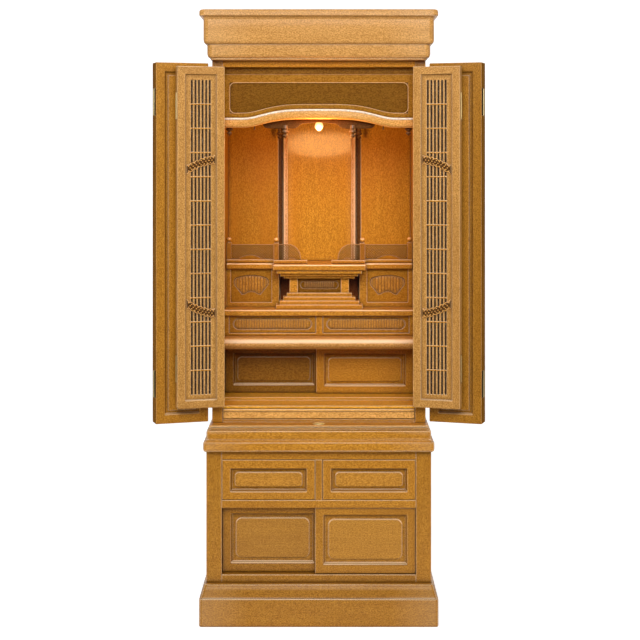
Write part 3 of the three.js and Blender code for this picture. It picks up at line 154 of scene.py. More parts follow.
class StudioSettings(bpy.types.PropertyGroup):
    distance: length_of("Distance", "Camera to the front of the upper posts", 1, 12, 4.0)
    eye: length_of("Eye height", "Height of the level camera", 0, 3, 1.247)
    aside: length_of("Aside", "Camera's distance to the right of the middle", -1, 1, 0.022)
    lens: bpy.props.FloatProperty(
        name="Lens", description="Focal length in millimetres on a 36 mm sensor",
        min=20, max=300, default=82.97)
    shift: bpy.props.FloatVectorProperty(
        name="Shift", description="Frame shift of the level camera", size=2,
        default=(-0.0109, -0.25))
    paper: colour_of("Paper", "Studio floor and backdrop", (0.9, 0.9, 0.9))
    key: power_of("Key light", "Soft light from above the camera", 2000, 46)
    rim: power_of("Side lights", "Soft lights at the sides", 2000, 7)
    fill: bpy.props.FloatProperty(
        name="Fill", description="Brightness of the surroundings", min=0, max=5, default=0.10)


class CabinetSettings(bpy.types.PropertyGroup):
    wood: bpy.props.PointerProperty(type=WoodSettings)
    fittings: bpy.props.PointerProperty(type=FittingSettings)
    lamp: bpy.props.PointerProperty(type=LampSettings)
    studio: bpy.props.PointerProperty(type=StudioSettings)


class Value:
    """A socket of a finish. Arithmetic on it adds Math nodes to that finish."""

    def __init__(self, finish, socket):
        self.finish = finish
        self.socket = socket

    def maths(self, operation, *terms):
        return self.finish.node("ShaderNodeMath", {"operation": operation}, dict(enumerate(terms)))

    def __add__(self, other):
        return self.maths("ADD", self, other)

    def __radd__(self, other):
        return self.maths("ADD", other, self)

    def __sub__(self, other):
        return self.maths("SUBTRACT", self, other)

    def __rsub__(self, other):
        return self.maths("SUBTRACT", other, self)

    def __mul__(self, other):
        return self.maths("MULTIPLY", self, other)

    def __abs__(self):
        return self.maths("ABSOLUTE", self)

    def below(self, other):
        return self.maths("LESS_THAN", self, other)

    def least(self, other):
        return self.maths("MINIMUM", self, other)

    def between(self, low, high):
        """0 at low, 1 at high and straight between them."""
        return self.finish.node(
            "ShaderNodeMapRange", {"clamp": True}, {0: self, 1: low, 2: high, 3: 0.0, 4: 1.0})


CORNER_REACH = 11 * MM  # how far from a corner the painted shade reaches
ARRIS_REACH = 2.8 * MM  # how far from an arris the painted highlight reaches
TURNED = (0.08, 0.4)  # turn of the rounded normal at which painted highlight and painted shade start and are full
LEVEL = (0.72, 0.97)  # upward normals of level tops, which get no painted highlight, and level undersides, which get no painted shade


class Finish:
    """A procedural material under construction."""

    def __init__(self, name):
        self.material = bpy.data.materials.new(name)
        self.material.use_nodes = True
        self.tree = self.material.node_tree
        self.shader = self.tree.nodes["Principled BSDF"]

    def node(self, kind, settings=None, sockets=None, output=0):
        """Adds a node: its settings first, then the values or links of its sockets."""
        made = self.tree.nodes.new(kind)
        for key, value in (settings or {}).items():
            if key == "stops":
                self._stops(made.color_ramp, value)
            else:
                setattr(made, key, value)
        for key, value in (sockets or {}).items():
            self.feed(made.inputs[key], value)
        return Value(self, made.outputs[output])

    @staticmethod
    def _stops(ramp, stops):
        while len(ramp.elements) < len(stops):
            ramp.elements.new(0.5)
        for element, (place, colour) in zip(ramp.elements, stops):
            element.position = place
            element.color = (*colour, 1.0)

    def feed(self, socket, value):
        if isinstance(value, Value):
            self.tree.links.new(value.socket, socket)
        else:
            socket.default_value = value

    def surface(self, **inputs):
        for name, value in inputs.items():
            self.feed(self.shader.inputs[name.replace("_", " ").title()], value)

    def place(self):
        """x, y and z of the point in the cabinet's frame."""
        return self.split(self.node("ShaderNodeTexCoord", output="Object"))

    def split(self, vector):
        made = self.tree.nodes.new("ShaderNodeSeparateXYZ")
        self.feed(made.inputs[0], vector)
        return [Value(self, made.outputs[i]) for i in range(3)]

    def vector(self, x, y, z):
        return self.node("ShaderNodeCombineXYZ", None, {0: x, 1: y, 2: z})

    def noise(self, vector, scale=1.0, detail=2.0, rough=0.5, distortion=0.0):
        return self.node(
            "ShaderNodeTexNoise", {"noise_dimensions": "3D"},
            {"Vector": vector, "Scale": scale, "Detail": detail, "Roughness": rough,
             "Distortion": distortion})

    def mix(self, factor, first, second, blend="MIX"):
        """Colours mixed by a factor; a plain colour is three numbers."""
        sides = [c if isinstance(c, Value) else (*c, 1.0) for c in (first, second)]
        return self.node(
            "ShaderNodeMix", {"data_type": "RGBA", "blend_type": blend},
            {0: factor, 6: sides[0], 7: sides[1]}, output=2)

    def relief(self, sloping):
        """How far a point lies in a corner, and how near to an arris that faces up, aside or down:
        masks of painted shade in corners, in gaps and under downward arrises, and of painted
        highlight on arrises that face up or aside.
        """
        open_share = self.node(
            "ShaderNodeAmbientOcclusion", {"samples": 8}, {"Distance": CORNER_REACH}, output=1)
        painted_shade = 1 - open_share.between(0.3, 0.95)
        turned = self.split(
            self.node("ShaderNodeBevel", {"samples": 6}, {"Radius": ARRIS_REACH}))
        flat = self.split(self.node("ShaderNodeNewGeometry", output=3))
        up = turned[2] - flat[2] if sloping else turned[2]
        down = 0 - up
        upper = up.between(*((0.06, 0.3) if sloping else TURNED)) * (1 - up.between(*LEVEL))
        aside = abs(turned[0] - flat[0]).between(*TURNED)
        lower = down.between(*TURNED) * (1 - down.between(*LEVEL))
        kept = 1 - painted_shade * (0.25 if sloping else 0.7)
        edge = (upper + aside * 0.7).least(1.0) * kept
        return (painted_shade + lower * 0.5).least(1.0), edge

    def bump(self, height, strength, distance):
        return self.node(
            "ShaderNodeBump", None, {"Height": height, "Strength": strength, "Distance": distance})


def shade(colour, share):
    return tuple(min(1.0, c * share) for c in colour)


def tint(colour, red, green, blue):
    return tuple(min(1.0, c * k) for c, k in zip(colour, (red, green, blue)))


class MitredFrame:
    """A front made of four mitred members round a field, as the shader needs it."""

    JOINT = 0.5 * MM
    MOAT = 9 * MM
    FIELD = (11 * MM, 13 * MM)  # where the paler field begins and is full, inside the members

    def __init__(self, origin, along, width, low, high, border, upright_field, field=0.0):
        self.origin = origin
        self.along = along
        self.width = width
        self.low = low
        self.high = high
        self.border = border
        self.upright_field = upright_field
        self.field = field

    def members(self, x, y, z):
        """Masks of the upright grain, the thin joints, the shaded moat and the field."""
        run = (x - self.origin[0]) * self.along[0] + (y - self.origin[1]) * self.along[1]
        from_side = self.width / 2 - abs(run - self.width / 2)
        from_end = (self.high - self.low) / 2 - abs(z - (self.high + self.low) / 2)
        nearest = from_side.least(from_end)
        member = nearest.below(self.border)
        upright = member * from_side.below(from_end)
        if self.upright_field:
            upright = upright + (1 - member)
        joint = member * abs(from_side - from_end).below(self.JOINT)
        moat = (1 - member) * (1 - nearest.between(self.border, self.border + self.MOAT))
        field = nearest.between(*(self.border + reach for reach in self.FIELD)) * self.field
        return upright, joint, moat, field


def wood_finish(name, colour, along, settings, seed=0.0, mitres=None, reddish=0.0, highlighted=1.0,
                lacquer=1.0, sloping=False):
    """Lacquered open-grained wood with its grain along x, y or z, or turned by mitred members.

    highlighted and lacquer are shares of the settings' edges, the painted highlight on arrises,
    and of the full coat of lacquer."""
    finish = Finish(name)
    x, y, z = finish.place()
    joint = None
    if mitres:
        upright, joint, moat, field = mitres.members(x, y, z)
        run = z * upright + x * (1 - upright)
        across = x * upright + z * (1 - upright) + upright * 3.7
        depth = y
    else:
        run, across, depth = {"x": (x, z, y), "y": (y, x, z), "z": (z, x, y)}[along]
    run = run + seed * 1.31
    across = across + seed * 0.77

    def grain(lengthwise, crosswise, detail, rough=0.5, distortion=0.0):
        """Noise drawn out along the grain, by its frequencies a metre along and across it."""
        place = finish.vector(run * lengthwise, across * crosswise, depth * crosswise)
        return finish.noise(place, detail=detail, rough=rough, distortion=distortion)

    figure = grain(1.5, 16, 4.0, 0.58, 0.9)
    stripe = grain(7, 300, 2.0)
    mottle = grain(250, 480, 1.0)
    pores = grain(50, 620, 2.0, 0.6)
    base = finish.node(
        "ShaderNodeValToRGB",
        {"stops": [
            (0.34, tint(shade(colour, 1 - settings.figure * 0.85), 1.0, 0.92, 0.80)),
            (0.48, colour),
            (0.64, tint(shade(colour, 1 + settings.figure * 0.38), 1.0, 1.03, 1.10)),
        ]},
        {0: figure})
    streak = stripe.between(0.34, 0.66)
    base = finish.mix(0.6 - streak * 0.6, base, tint(shade(colour, 0.72), 1.0, 0.93, 0.80))
    speckle = mottle.between(0.38, 0.62)
    base = finish.mix(
        0.95 - speckle * 0.95, base, tint(shade(colour, 1 - settings.pores), 1.0, 0.90, 0.72))
    base = finish.mix(speckle * 0.3, base, tint(shade(colour, 1.4), 1.0, 1.06, 1.5))
    open_pore = pores.between(0.56, 0.70)
    base = finish.mix(open_pore * 0.55, base, tint(shade(colour, 0.42), 1.0, 0.82, 0.6))
    if reddish:
        cloud = grain(2.2, 9, 2.0)
        base = finish.mix(cloud.between(0.42, 0.7) * reddish, base, tint(colour, 1.02, 0.74, 0.72))
    if joint is not None:
        base = finish.mix(joint * 0.55, base, shade(colour, 0.42))
        # Painted shade in the moat inside the members
        base = finish.mix(moat * 0.6, base, tint(shade(colour, 0.35), 1.0, 0.88, 0.6))
        base = finish.mix(field, base, (1.0, 0.55, 0.18), "SCREEN")
    painted_shade, edge = finish.relief(sloping)
    # Painted shade in corners, in gaps between parts and under arrises that face down
    base = finish.mix(painted_shade * settings.shade_depth, base, tint(shade(colour, 0.22), 1.0, 0.80, 0.5))
    # Painted highlight on arrises that face up or aside
    base = finish.mix(edge * (settings.edges * highlighted), base, settings.highlight_colour)
    finish.surface(
        base_color=base,
        roughness=settings.gloss - 0.05 + open_pore * 0.15 + figure * 0.05,
        normal=finish.bump(speckle * 0.5 - open_pore, 0.2, 0.2 * MM),
    )
    finish.shader.inputs["Specular IOR Level"].default_value = 0.08 * lacquer
    finish.shader.inputs["Coat Weight"].default_value = 0.25 * lacquer
    finish.shader.inputs["Coat Roughness"].default_value = 0.12
    return finish.material


def brass_finish(name, colour, metal=1.0):
    """Brass with faint brushing and slightly darker patches; with metal 0, a near-black painted
    shadow that stands for a hinge plate's mortise.
    """
    finish = Finish(name)
    x, y, z = finish.place()
    brushed = finish.noise(finish.vector(x * 900, y * 900, z * 90), detail=2.0)
    patches = finish.noise(finish.vector(x * 60, y * 60, z * 60), detail=3.0)
    finish.surface(
        base_color=finish.mix(patches.between(0.4, 0.75), colour, tint(colour, 0.78, 0.68, 0.55)),
        roughness=0.2 + brushed * 0.14,
        normal=finish.bump(brushed, 0.08, 0.1 * MM),
    )
    finish.shader.inputs["Metallic"].default_value = metal
    finish.shader.inputs["Specular IOR Level"].default_value = 0.5 * metal
    return finish.material


def gauze_finish(colour):
    """Dark open-weave cloth with a few metallic threads."""
    finish = Finish("gauze")
    x, y, z = finish.place()
    weft, warp = (finish.node(
        "ShaderNodeTexWave", {"wave_type": "BANDS", "bands_direction": direction},
        {"Vector": finish.vector(x, y, z), "Scale": 330.0, "Distortion": 1.5})
        for direction in "ZX")
    blotches = finish.noise(finish.vector(x * 260, y * 260, z * 200), detail=2.0)
    thread = weft * 0.5 + warp * 0.5
    cloth = finish.mix(
        thread.between(0.35, 0.9) * 0.6, shade(colour, 0.45), tint(colour, 3.0, 2.9, 2.9))
    finish.surface(
        base_color=finish.mix(blotches.between(0.55, 0.72) * 0.7, cloth, (0.20, 0.15, 0.11)),
        roughness=0.8 - thread * 0.15,
        normal=finish.bump(thread, 0.3, 0.2 * MM),
    )
    finish.shader.inputs["Specular IOR Level"].default_value = 0.05
    return finish.material


def lamp_finish(colour, strength):
    """Frosted lamp glass, lit from inside."""
    finish = Finish("lamp_glass")
    x, y, z = finish.place()
    frost = finish.noise(finish.vector(x * 400, y * 400, z * 400), detail=2.0)
    finish.surface(
        base_color=finish.mix(frost * 0.3, (0.05, 0.03, 0.015), (0.04, 0.02, 0.01)),
        roughness=0.25 + frost * 0.1,
        emission_color=finish.mix(frost * 0.3, colour, tint(colour, 1.0, 0.9, 0.8)),
    )
    finish.shader.inputs["Emission Strength"].default_value = strength
    finish.shader.inputs["Specular IOR Level"].default_value = 0.02
    return finish.material


def paper_finish(colour):
    """Seamless studio paper with a barely visible tooth."""
    finish = Finish("studio_paper")
    x, y, z = finish.place()
    tooth = finish.noise(finish.vector(x * 40, y * 40, z * 40), detail=3.0)
    near = y.between(-2.0, -0.45)
    finish.surface(
        base_color=finish.mix(tooth * 0.06, shade(colour, 0.75), shade(colour, 0.7)),
        roughness=0.9,
        emission_color=finish.mix(near, shade(colour, 0.1), colour),
    )
    finish.shader.inputs["Emission Strength"].default_value = 0.78
    return finish.material


class Piece:
    """Points and faces of one piece while it is being made."""

    def __init__(self):
        self.points = []
        self.faces = []
        self.kinds = []
        self.kind = 0
        self.at = Matrix.Identity(4)

    def add(self, points, faces):
        start = len(self.points)
        self.points += [self.at @ Vector(p) for p in points]
        self.faces += [[start + i for i in face] for face in faces]
        self.kinds += [self.kind] * len(faces)

    def loft(self, rings, closed=False):
        """Skin over rings of points; the ends are capped unless the last ring joins the first."""
        count = len(rings[0])
        faces = []
        last = len(rings) if closed else len(rings) - 1
        for k in range(last):
            a, b = k * count, ((k + 1) % len(rings)) * count
            for i in range(count):
                j = (i + 1) % count
                faces.append((a + i, a + j, b + j, b + i))
        if not closed:
            faces.append(tuple(reversed(range(count))))
            faces.append(tuple(range((len(rings) - 1) * count, len(rings) * count)))
        self.add([p for ring in rings for p in ring], faces)

    def box(self, low, high):
        (x0, y0, z0), (x1, y1, z1) = low, high
        rings = [[(x0, y0, z), (x1, y0, z), (x1, y1, z), (x0, y1, z)] for z in (z0, z1)]
        self.loft(rings)

    def rounded_box(self, low, high, ease):
        """A box whose upright edges and both ends are eased."""
        (x0, y0, z0), (x1, y1, z1) = low, high

        def ring(inset, z):
            a, b, c, d = x0 + inset, x1 - inset, y0 + inset, y1 - inset
            e = ease * 0.7
            return [(a + e, c, z), (b - e, c, z), (b, c + e, z), (b, d - e, z),
                    (b - e, d, z), (a + e, d, z), (a, d - e, z), (a, c + e, z)]

        self.loft([ring(ease, z0), ring(0, z0 + ease), ring(0, z1 - ease), ring(ease, z1)])

    def lathe(self, profile, centre, sides=24, wide=MM, high=MM):
        """Turned shape: radii and heights from its foot up, about an upright through centre."""
        rings = []
        for radius, height in profile:
            r = max(radius * wide, 0.01 * MM)
            rings.append([
                (centre[0] + r * math.cos(2 * math.pi * i / sides),
                 centre[1] + r * math.sin(2 * math.pi * i / sides),
                 centre[2] + height * high)
                for i in range(sides)])
        self.loft(rings)

    def slab(self, outline, y0, y1, ease=0.0):
        """An outline of x and z, anticlockwise from the front, made solid from y0 back to y1."""
        if ease <= 0:
            self.loft([[(x, y1, z) for x, z in outline], [(x, y0, z) for x, z in outline]])
            return
        inner = shrunk(outline, ease)
        self.loft([
            [(x, y1, z) for x, z in outline],
            [(x, y0 + ease, z) for x, z in outline],
            [(x, y0, z) for x, z in inner],
        ])

    def bead(self, path, y, radius, closed=False, sides=8, flat=1.0):
        """A round moulding along a path of x and z, lying on the plane at y."""
        count = len(path)
        rings = []
        for k, (px, pz) in enumerate(path):
            before = path[(k - 1) % count] if closed or k else path[k]
            after = path[(k + 1) % count] if closed or k + 1 < count else path[k]
            run = Vector((after[0] - before[0], after[1] - before[1])).normalized()
            side = (-run[1], run[0])
            rings.append([
                (px + radius * math.cos(a) * side[0],
                 y + radius * flat * math.sin(a),
                 pz + radius * math.cos(a) * side[1])
                for a in (2 * math.pi * i / sides for i in range(sides))])
        self.loft(rings, closed)

    def make(self, name, body, finishes, smooth=35, ease=0.0):
        mesh = bpy.data.meshes.new(name)
        mesh.from_pydata(self.points, [], self.faces)
        mesh.polygons.foreach_set("material_index", self.kinds)
        mesh.polygons.foreach_set("use_smooth", [True] * len(mesh.polygons))
        mesh.update()
        mesh.set_sharp_from_angle(angle=math.radians(smooth))
        piece = bpy.data.objects.new(name, mesh)
        bpy.context.scene.collection.objects.link(piece)
        for finish in finishes:
            mesh.materials.append(bpy.data.materials[finish])
        if ease:
            soften(piece, ease)
        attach(piece, body)
        return piece


def soften(piece, width, segments=2, weld=False, angle=32):
    """Eased edges that catch the light."""
    if weld:
        merge = piece.modifiers.new("merge", "WELD")
        merge.merge_threshold = 0.00001
        flatten = piece.modifiers.new("flatten", "DECIMATE")
        flatten.decimate_type = "DISSOLVE"
        flatten.angle_limit = math.radians(0.5)
    bevel = piece.modifiers.new("eased", "BEVEL")
    bevel.width = width
    bevel.segments = segments
    bevel.limit_method = "ANGLE"
    bevel.angle_limit = math.radians(angle)
    bevel.harden_normals = True
    bevel.use_clamp_overlap = False
    bevel.miter_outer = "MITER_ARC"


def shrunk(outline, inset):
    """An outline moved inwards by its own corners' bisectors."""
    made = []
    count = len(outline)
    for k in range(count):
        before, here, after = (Vector(outline[(k + d) % count]) for d in (-1, 0, 1))
        first = (here - before).normalized()
        second = (after - here).normalized()
        normal = Vector((-first.y - second.y, first.x + second.x))
        if normal.length < 1e-6:
            normal = Vector((-first.y, first.x))
        normal.normalize()
        reach = inset / max(0.35, normal.dot(Vector((-first.y, first.x))))
        made.append(tuple(here + normal * reach))
    return made


def curve(start, control, end, steps=5):
    """Points of a quadratic curve after its start."""
    points = []
    for t in (i / steps for i in range(1, steps + 1)):
        weights = (1 - t) ** 2, 2 * t * (1 - t), t * t
        points.append(tuple(
            sum(w * c for w, c in zip(weights, place)) for place in zip(start, control, end)))
    return points


def span(outline, x):
    """Lowest and highest z of an outline at x, or None."""
    found = []
    for (x0, z0), (x1, z1) in zip(outline, outline[1:] + outline[:1]):
        if (x0 - x) * (x1 - x) <= 0 and x0 != x1:
            found.append(z0 + (z1 - z0) * (x - x0) / (x1 - x0))
    return (min(found), max(found)) if len(found) > 1 else None


def crossings(outline, start, direction):
    """Stretches of a line that lie inside an outline, as pairs of distances from start."""
    found = []
    for (x0, z0), (x1, z1) in zip(outline, outline[1:] + outline[:1]):
        edge = (x1 - x0, z1 - z0)
        across = direction[0] * edge[1] - direction[1] * edge[0]
        if abs(across) < 1e-12:
            continue
        gap = (x0 - start[0], z0 - start[1])
        share = (gap[0] * direction[1] - gap[1] * direction[0]) / across
        if 0 <= share < 1:
            found.append((gap[0] * edge[1] - gap[1] * edge[0]) / across)
    found.sort()
    return list(zip(found[::2], found[1::2]))


def inside(outline, x, z):
    return any(a < 0 < b for a, b in crossings(outline, (x, z), (1.0, 0.0)))


class Leaf:
    """A door leaf with its joint, node and body; x runs along the width in its own frame."""

    def __init__(self, joint, node, body, corner, folded):
        self.joint = joint
        self.node_stem = node
        self.body_stem = body
        self.corner = [place * MM for place in corner]  # where the leaf starts in its own frame
        self.folded = folded
        self.outer = node.startswith("outer")
        self.width = (144.25 if self.outer else 128.25) * MM

    def node(self, side):
        return self.node_stem + side

    def body(self, side):
        return self.body_stem + side

    def place(self, side):
        """Placement of the leaf's own frame at rest; a mirror makes the right one."""
        pin = JOINTS[self.joint + "_left"]["pos_m"]
        opened = JOINTS[("doors" if self.outer else "lattice") + "_left"]["range_deg"][1]
        turn = -opened + ((-180 if self.outer else 180) if self.folded else 0)
        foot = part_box(self.node("left"))[0].z
        place = Matrix.Translation((pin[0], pin[1], foot)) @ Matrix.Rotation(
            math.radians(turn), 4, "Z")
        return Matrix.Scale(-1, 4, Vector((1, 0, 0))) @ place if side == "right" else place

    def mitres(self, side):
        """The leaf's mitred members for its shader."""
        place = self.place(side)
        start, end = (place @ Vector((self.corner[0] + x, self.corner[1], 0)) for x in (0, 1))
        along = (end - start).normalized()
        low, high = tall(self.node(side))
        border = 26 * MM if self.outer else LATTICE_STILE
        return MitredFrame(start[:2], along[:2], self.width, low, high, border, True)


LEAVES = {
    "outer": Leaf("doors", "outer_leaf_", "outer_door_", (4, -23), False),
    "outer_fold": Leaf("outer_fold", "outer_fold_leaf_", "outer_fold_", (0.5, 0.5), True),
    "lattice": Leaf("lattice", "lattice_leaf_", "lattice_door_", (1, 1), False),
    "lattice_fold": Leaf(
        "lattice_fold", "lattice_fold_leaf_", "lattice_fold_", (0.5, -15.5), True),
}


def front_frame(node, border, field):
    low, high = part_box(node)
    return MitredFrame(
        (low.x, low.y), (1.0, 0.0), high.x - low.x, low.z, high.z, border, False, field)


def cabinet_settings(context):
    return context.scene.altar_cabinet


def wear(node, finish):
    mesh = frame["nodes"][node].data
    mesh.materials.clear()
    mesh.materials.append(finish)


class CABINET_OT_boards(bpy.types.Operator):
    """Gives every board, moulding and box of the frame its wood and its eased edges"""

    bl_idname = "cabinet.boards"
    bl_label = "Boards and mouldings"

    SLOPING = ("cap", "ledge", "plinth")
    # shares of the painted edge highlight, for nodes that also get only a thin coat of lacquer
    HIGHLIGHT_SHARES = {"frieze": 0.2, "header_rail": 0.4, "lintel": 0.2, "ceiling": 0.3}

    def execute(self, context):
        wood = cabinet_settings(context).wood
        groups = {
            "cap": ("pale", 0.86, "x"), "plinth": ("golden", 0.68, "x"),
            "ledge": ("golden", 0.92, "x"),
            "lower_side_left": ("golden", 0.70, "z"), "lower_side_right": ("golden", 0.75, "z"),
            "lower_back": ("dark", 1.0, "z"), "lower_bottom": ("golden", 0.7, "x"),
            "drawer_shelf": ("golden", 0.86, "x"), "drawer_divider": ("golden", 0.78, "z"),
            "top_rail": ("golden", 0.80, "x"), "upper_side_left": ("golden", 0.85, "z"),
            "upper_side_right": ("golden", 0.85, "z"), "upper_back": ("dark", 1.0, "z"),
            "altar_floor": ("amber", 1.35, "x"), "tray": ("pale", 1.35, "x"),
            "header_rail": ("golden", 1.3, "x"), "ceiling": ("golden", 0.7, "x"),
            "frieze": ("golden", 0.66, "x"), "lintel": ("pale", 1.16, "x"),
            "back_panel_centre": ("amber", 0.94, "z"), "back_panel_left": ("amber", 0.88, "z"),
            "back_panel_right": ("amber", 1.0, "z"), "altar_top": ("golden", 0.95, "x"),
            "altar_pedestal": ("golden", 1.15, "x"), "altar_side_left": ("golden", 0.9, "x"),
            "altar_side_right": ("golden", 0.95, "x"), "step_shelf": ("golden", 1.0, "x"),
            "step_case": ("golden", 0.95, "x"), "nosing_shelf": ("pale", 1.0, "x"),
            "step_drawer_left": ("golden", 0.78, "x"), "step_drawer_right": ("golden", 0.84, "x"),
        }
        for number, (node, (tone, share, along)) in enumerate(groups.items()):
            reddish = 0.35 if node.startswith("back_panel") else 0.0
            colour = shade(getattr(wood, tone), share)
            wear(node, wood_finish(
                node + "_wood", colour, along, wood, number * 0.73, None, reddish,
                highlighted=self.HIGHLIGHT_SHARES.get(node, 1.0), lacquer=0.3 if node in self.HIGHLIGHT_SHARES else 1.0,
                sloping=node in self.SLOPING))
        fronts = {
            "drawer_left": 0.84, "drawer_right": 0.86, "cupboard_door_left": 0.68,
            "cupboard_door_right": 0.76, "shelf_door_left": 0.48, "shelf_door_right": 0.92,
        }
        for number, (node, share) in enumerate(fronts.items()):
            colour = shade(wood.golden, share)
            mitres = front_frame(node, 22 * MM, 0.0 if node.startswith("shelf") else 0.05)
            wear(node, wood_finish(node + "_wood", colour, "x", wood, 21 + number * 0.9, mitres))
        for row, (side, _) in enumerate(SIDES):
            for number, leaf in enumerate(LEAVES.values()):
                node = leaf.node(side)
                tone = shade(wood.golden, 0.78 - 0.12 * row) if leaf.outer else (
                    tint(shade(wood.pale, 0.78), 1.0, 1.0, 0.95))
                wear(node, wood_finish(
                    node + "_wood", tone, "z", wood, 30 + row * 4 + number * 0.8,
                    leaf.mitres(side), highlighted=0.4 if leaf.outer else 0.8))
        eased = {
            "altar_side_left": 0.3, "altar_side_right": 0.3, "altar_pedestal": 0.25,
            "step_drawer_left": 0.3, "step_drawer_right": 0.3, "altar_top": 4.5, "step_shelf": 2.0,
            "lintel": 3.0, "cap": 1.8, "ledge": 2.6, "plinth": 2.6, "tray": 1.6,
        }
        for name, node in frame["nodes"].items():
            for polygon in node.data.polygons:
                polygon.use_smooth = True
            if "custom_normal" in node.data.attributes:
                node.data.attributes.remove(node.data.attributes["custom_normal"])
            width = eased[name] * MM if name in eased else wood.rounding
            soften(node, width, 3 if width > 1.5 * MM else 2, weld=True,
                   angle=16 if name in self.SLOPING or "leaf" in name or "door" in name
                   or name.startswith("drawer") else 32)
        further = {  # colour, grain, seed, share of the painted edge highlight and share of lacquer
            "fret_wood": ((0.20, 0.13, 0.055), "x", 41, 0.0, 0.0),
            "rail_wood": (wood.golden, "x", 42, 1.0, 1.0),
            "carving_wood": (wood.umber, "x", 44, 0.1, 0.2),
            "reed_wood": (shade(wood.golden, 0.92), "z", 45, 0.15, 1.0),
            "post_wood": (shade(wood.dark, 1.5), "z", 47, 0.45, 1.0),
            "dark_reed_wood": (shade(wood.dark, 1.1), "z", 48, 0.15, 1.0),
            "backing_wood": (tint(shade(wood.dark, 0.9), 1.0, 0.6, 0.8), "z", 49, 1.0, 1.0),
            "joint_wood": (tint(shade(wood.dark, 0.5), 1.0, 0.9, 1.0), "z", 50, 1.0, 1.0),
            "bevel_wood": (tint(wood.pale, 1.05, 1.1, 1.8), "z", 51, 1.0, 1.0),
            "bead_wood": (wood.golden, "x", 52, 0.8, 1.0),
            "cell_wood": (shade(wood.golden, 1.5), "x", 53, 0.3, 1.0),
            "knob_wood": (shade(wood.golden, 1.25), "z", 54, 0.5, 3.0),
            "leaf_end_wood": (shade(wood.dark, 0.9), "z", 55, 0.5, 0.0),
            "pendant_wood": ((0.14, 0.055, 0.008), "z", 56, 0.15, 1.5),
            "lip_wood": (tint(wood.highlight_colour, 1.0, 1.12, 1.45), "x", 57, 1.0, 1.0),
        }
        for name, (colour, along, seed, highlighted, lacquer) in further.items():
            wood_finish(name, colour, along, wood, seed, highlighted=highlighted, lacquer=lacquer)
        self.darken(wood)
        return {"FINISHED"}

    @staticmethod
    def darken(wood):
        """Sunken fields coloured darker, and painted shade on the outer ends of the outer leaves.
        """
        fields = (
            ("frieze", 1.0, 4.0, tint(shade(wood.golden, 0.34), 1.0, 0.96, 0.8)),
            ("altar_pedestal", 38.0, 42.0, shade(wood.dark, 1.0)),
            ("altar_side_left", 2.0, 20.0, shade(wood.golden, 0.8)),
            ("altar_side_right", 2.0, 20.0, shade(wood.golden, 0.86)),
        )
        for node, near, far, colour in fields:
            mesh = frame["nodes"][node].data
            mesh.materials.append(wood_finish(
                node + "_field_wood", colour, "x", wood, near + 46.0, highlighted=0.3, lacquer=0.3))
            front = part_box(node)[0].y
            for polygon in mesh.polygons:
                if polygon.normal.y < -0.9 and near * MM < polygon.center.y - front < far * MM:
                    polygon.material_index = 1
        end = bpy.data.materials["leaf_end_wood"]
        for side, sign in SIDES:
            for leaf in ("outer", "outer_fold"):
                mesh = frame["nodes"][LEAVES[leaf].node(side)].data
                mesh.materials.append(end)
                for polygon in mesh.polygons:
                    if polygon.normal.x * sign > 0.8:
                        polygon.material_index = 1


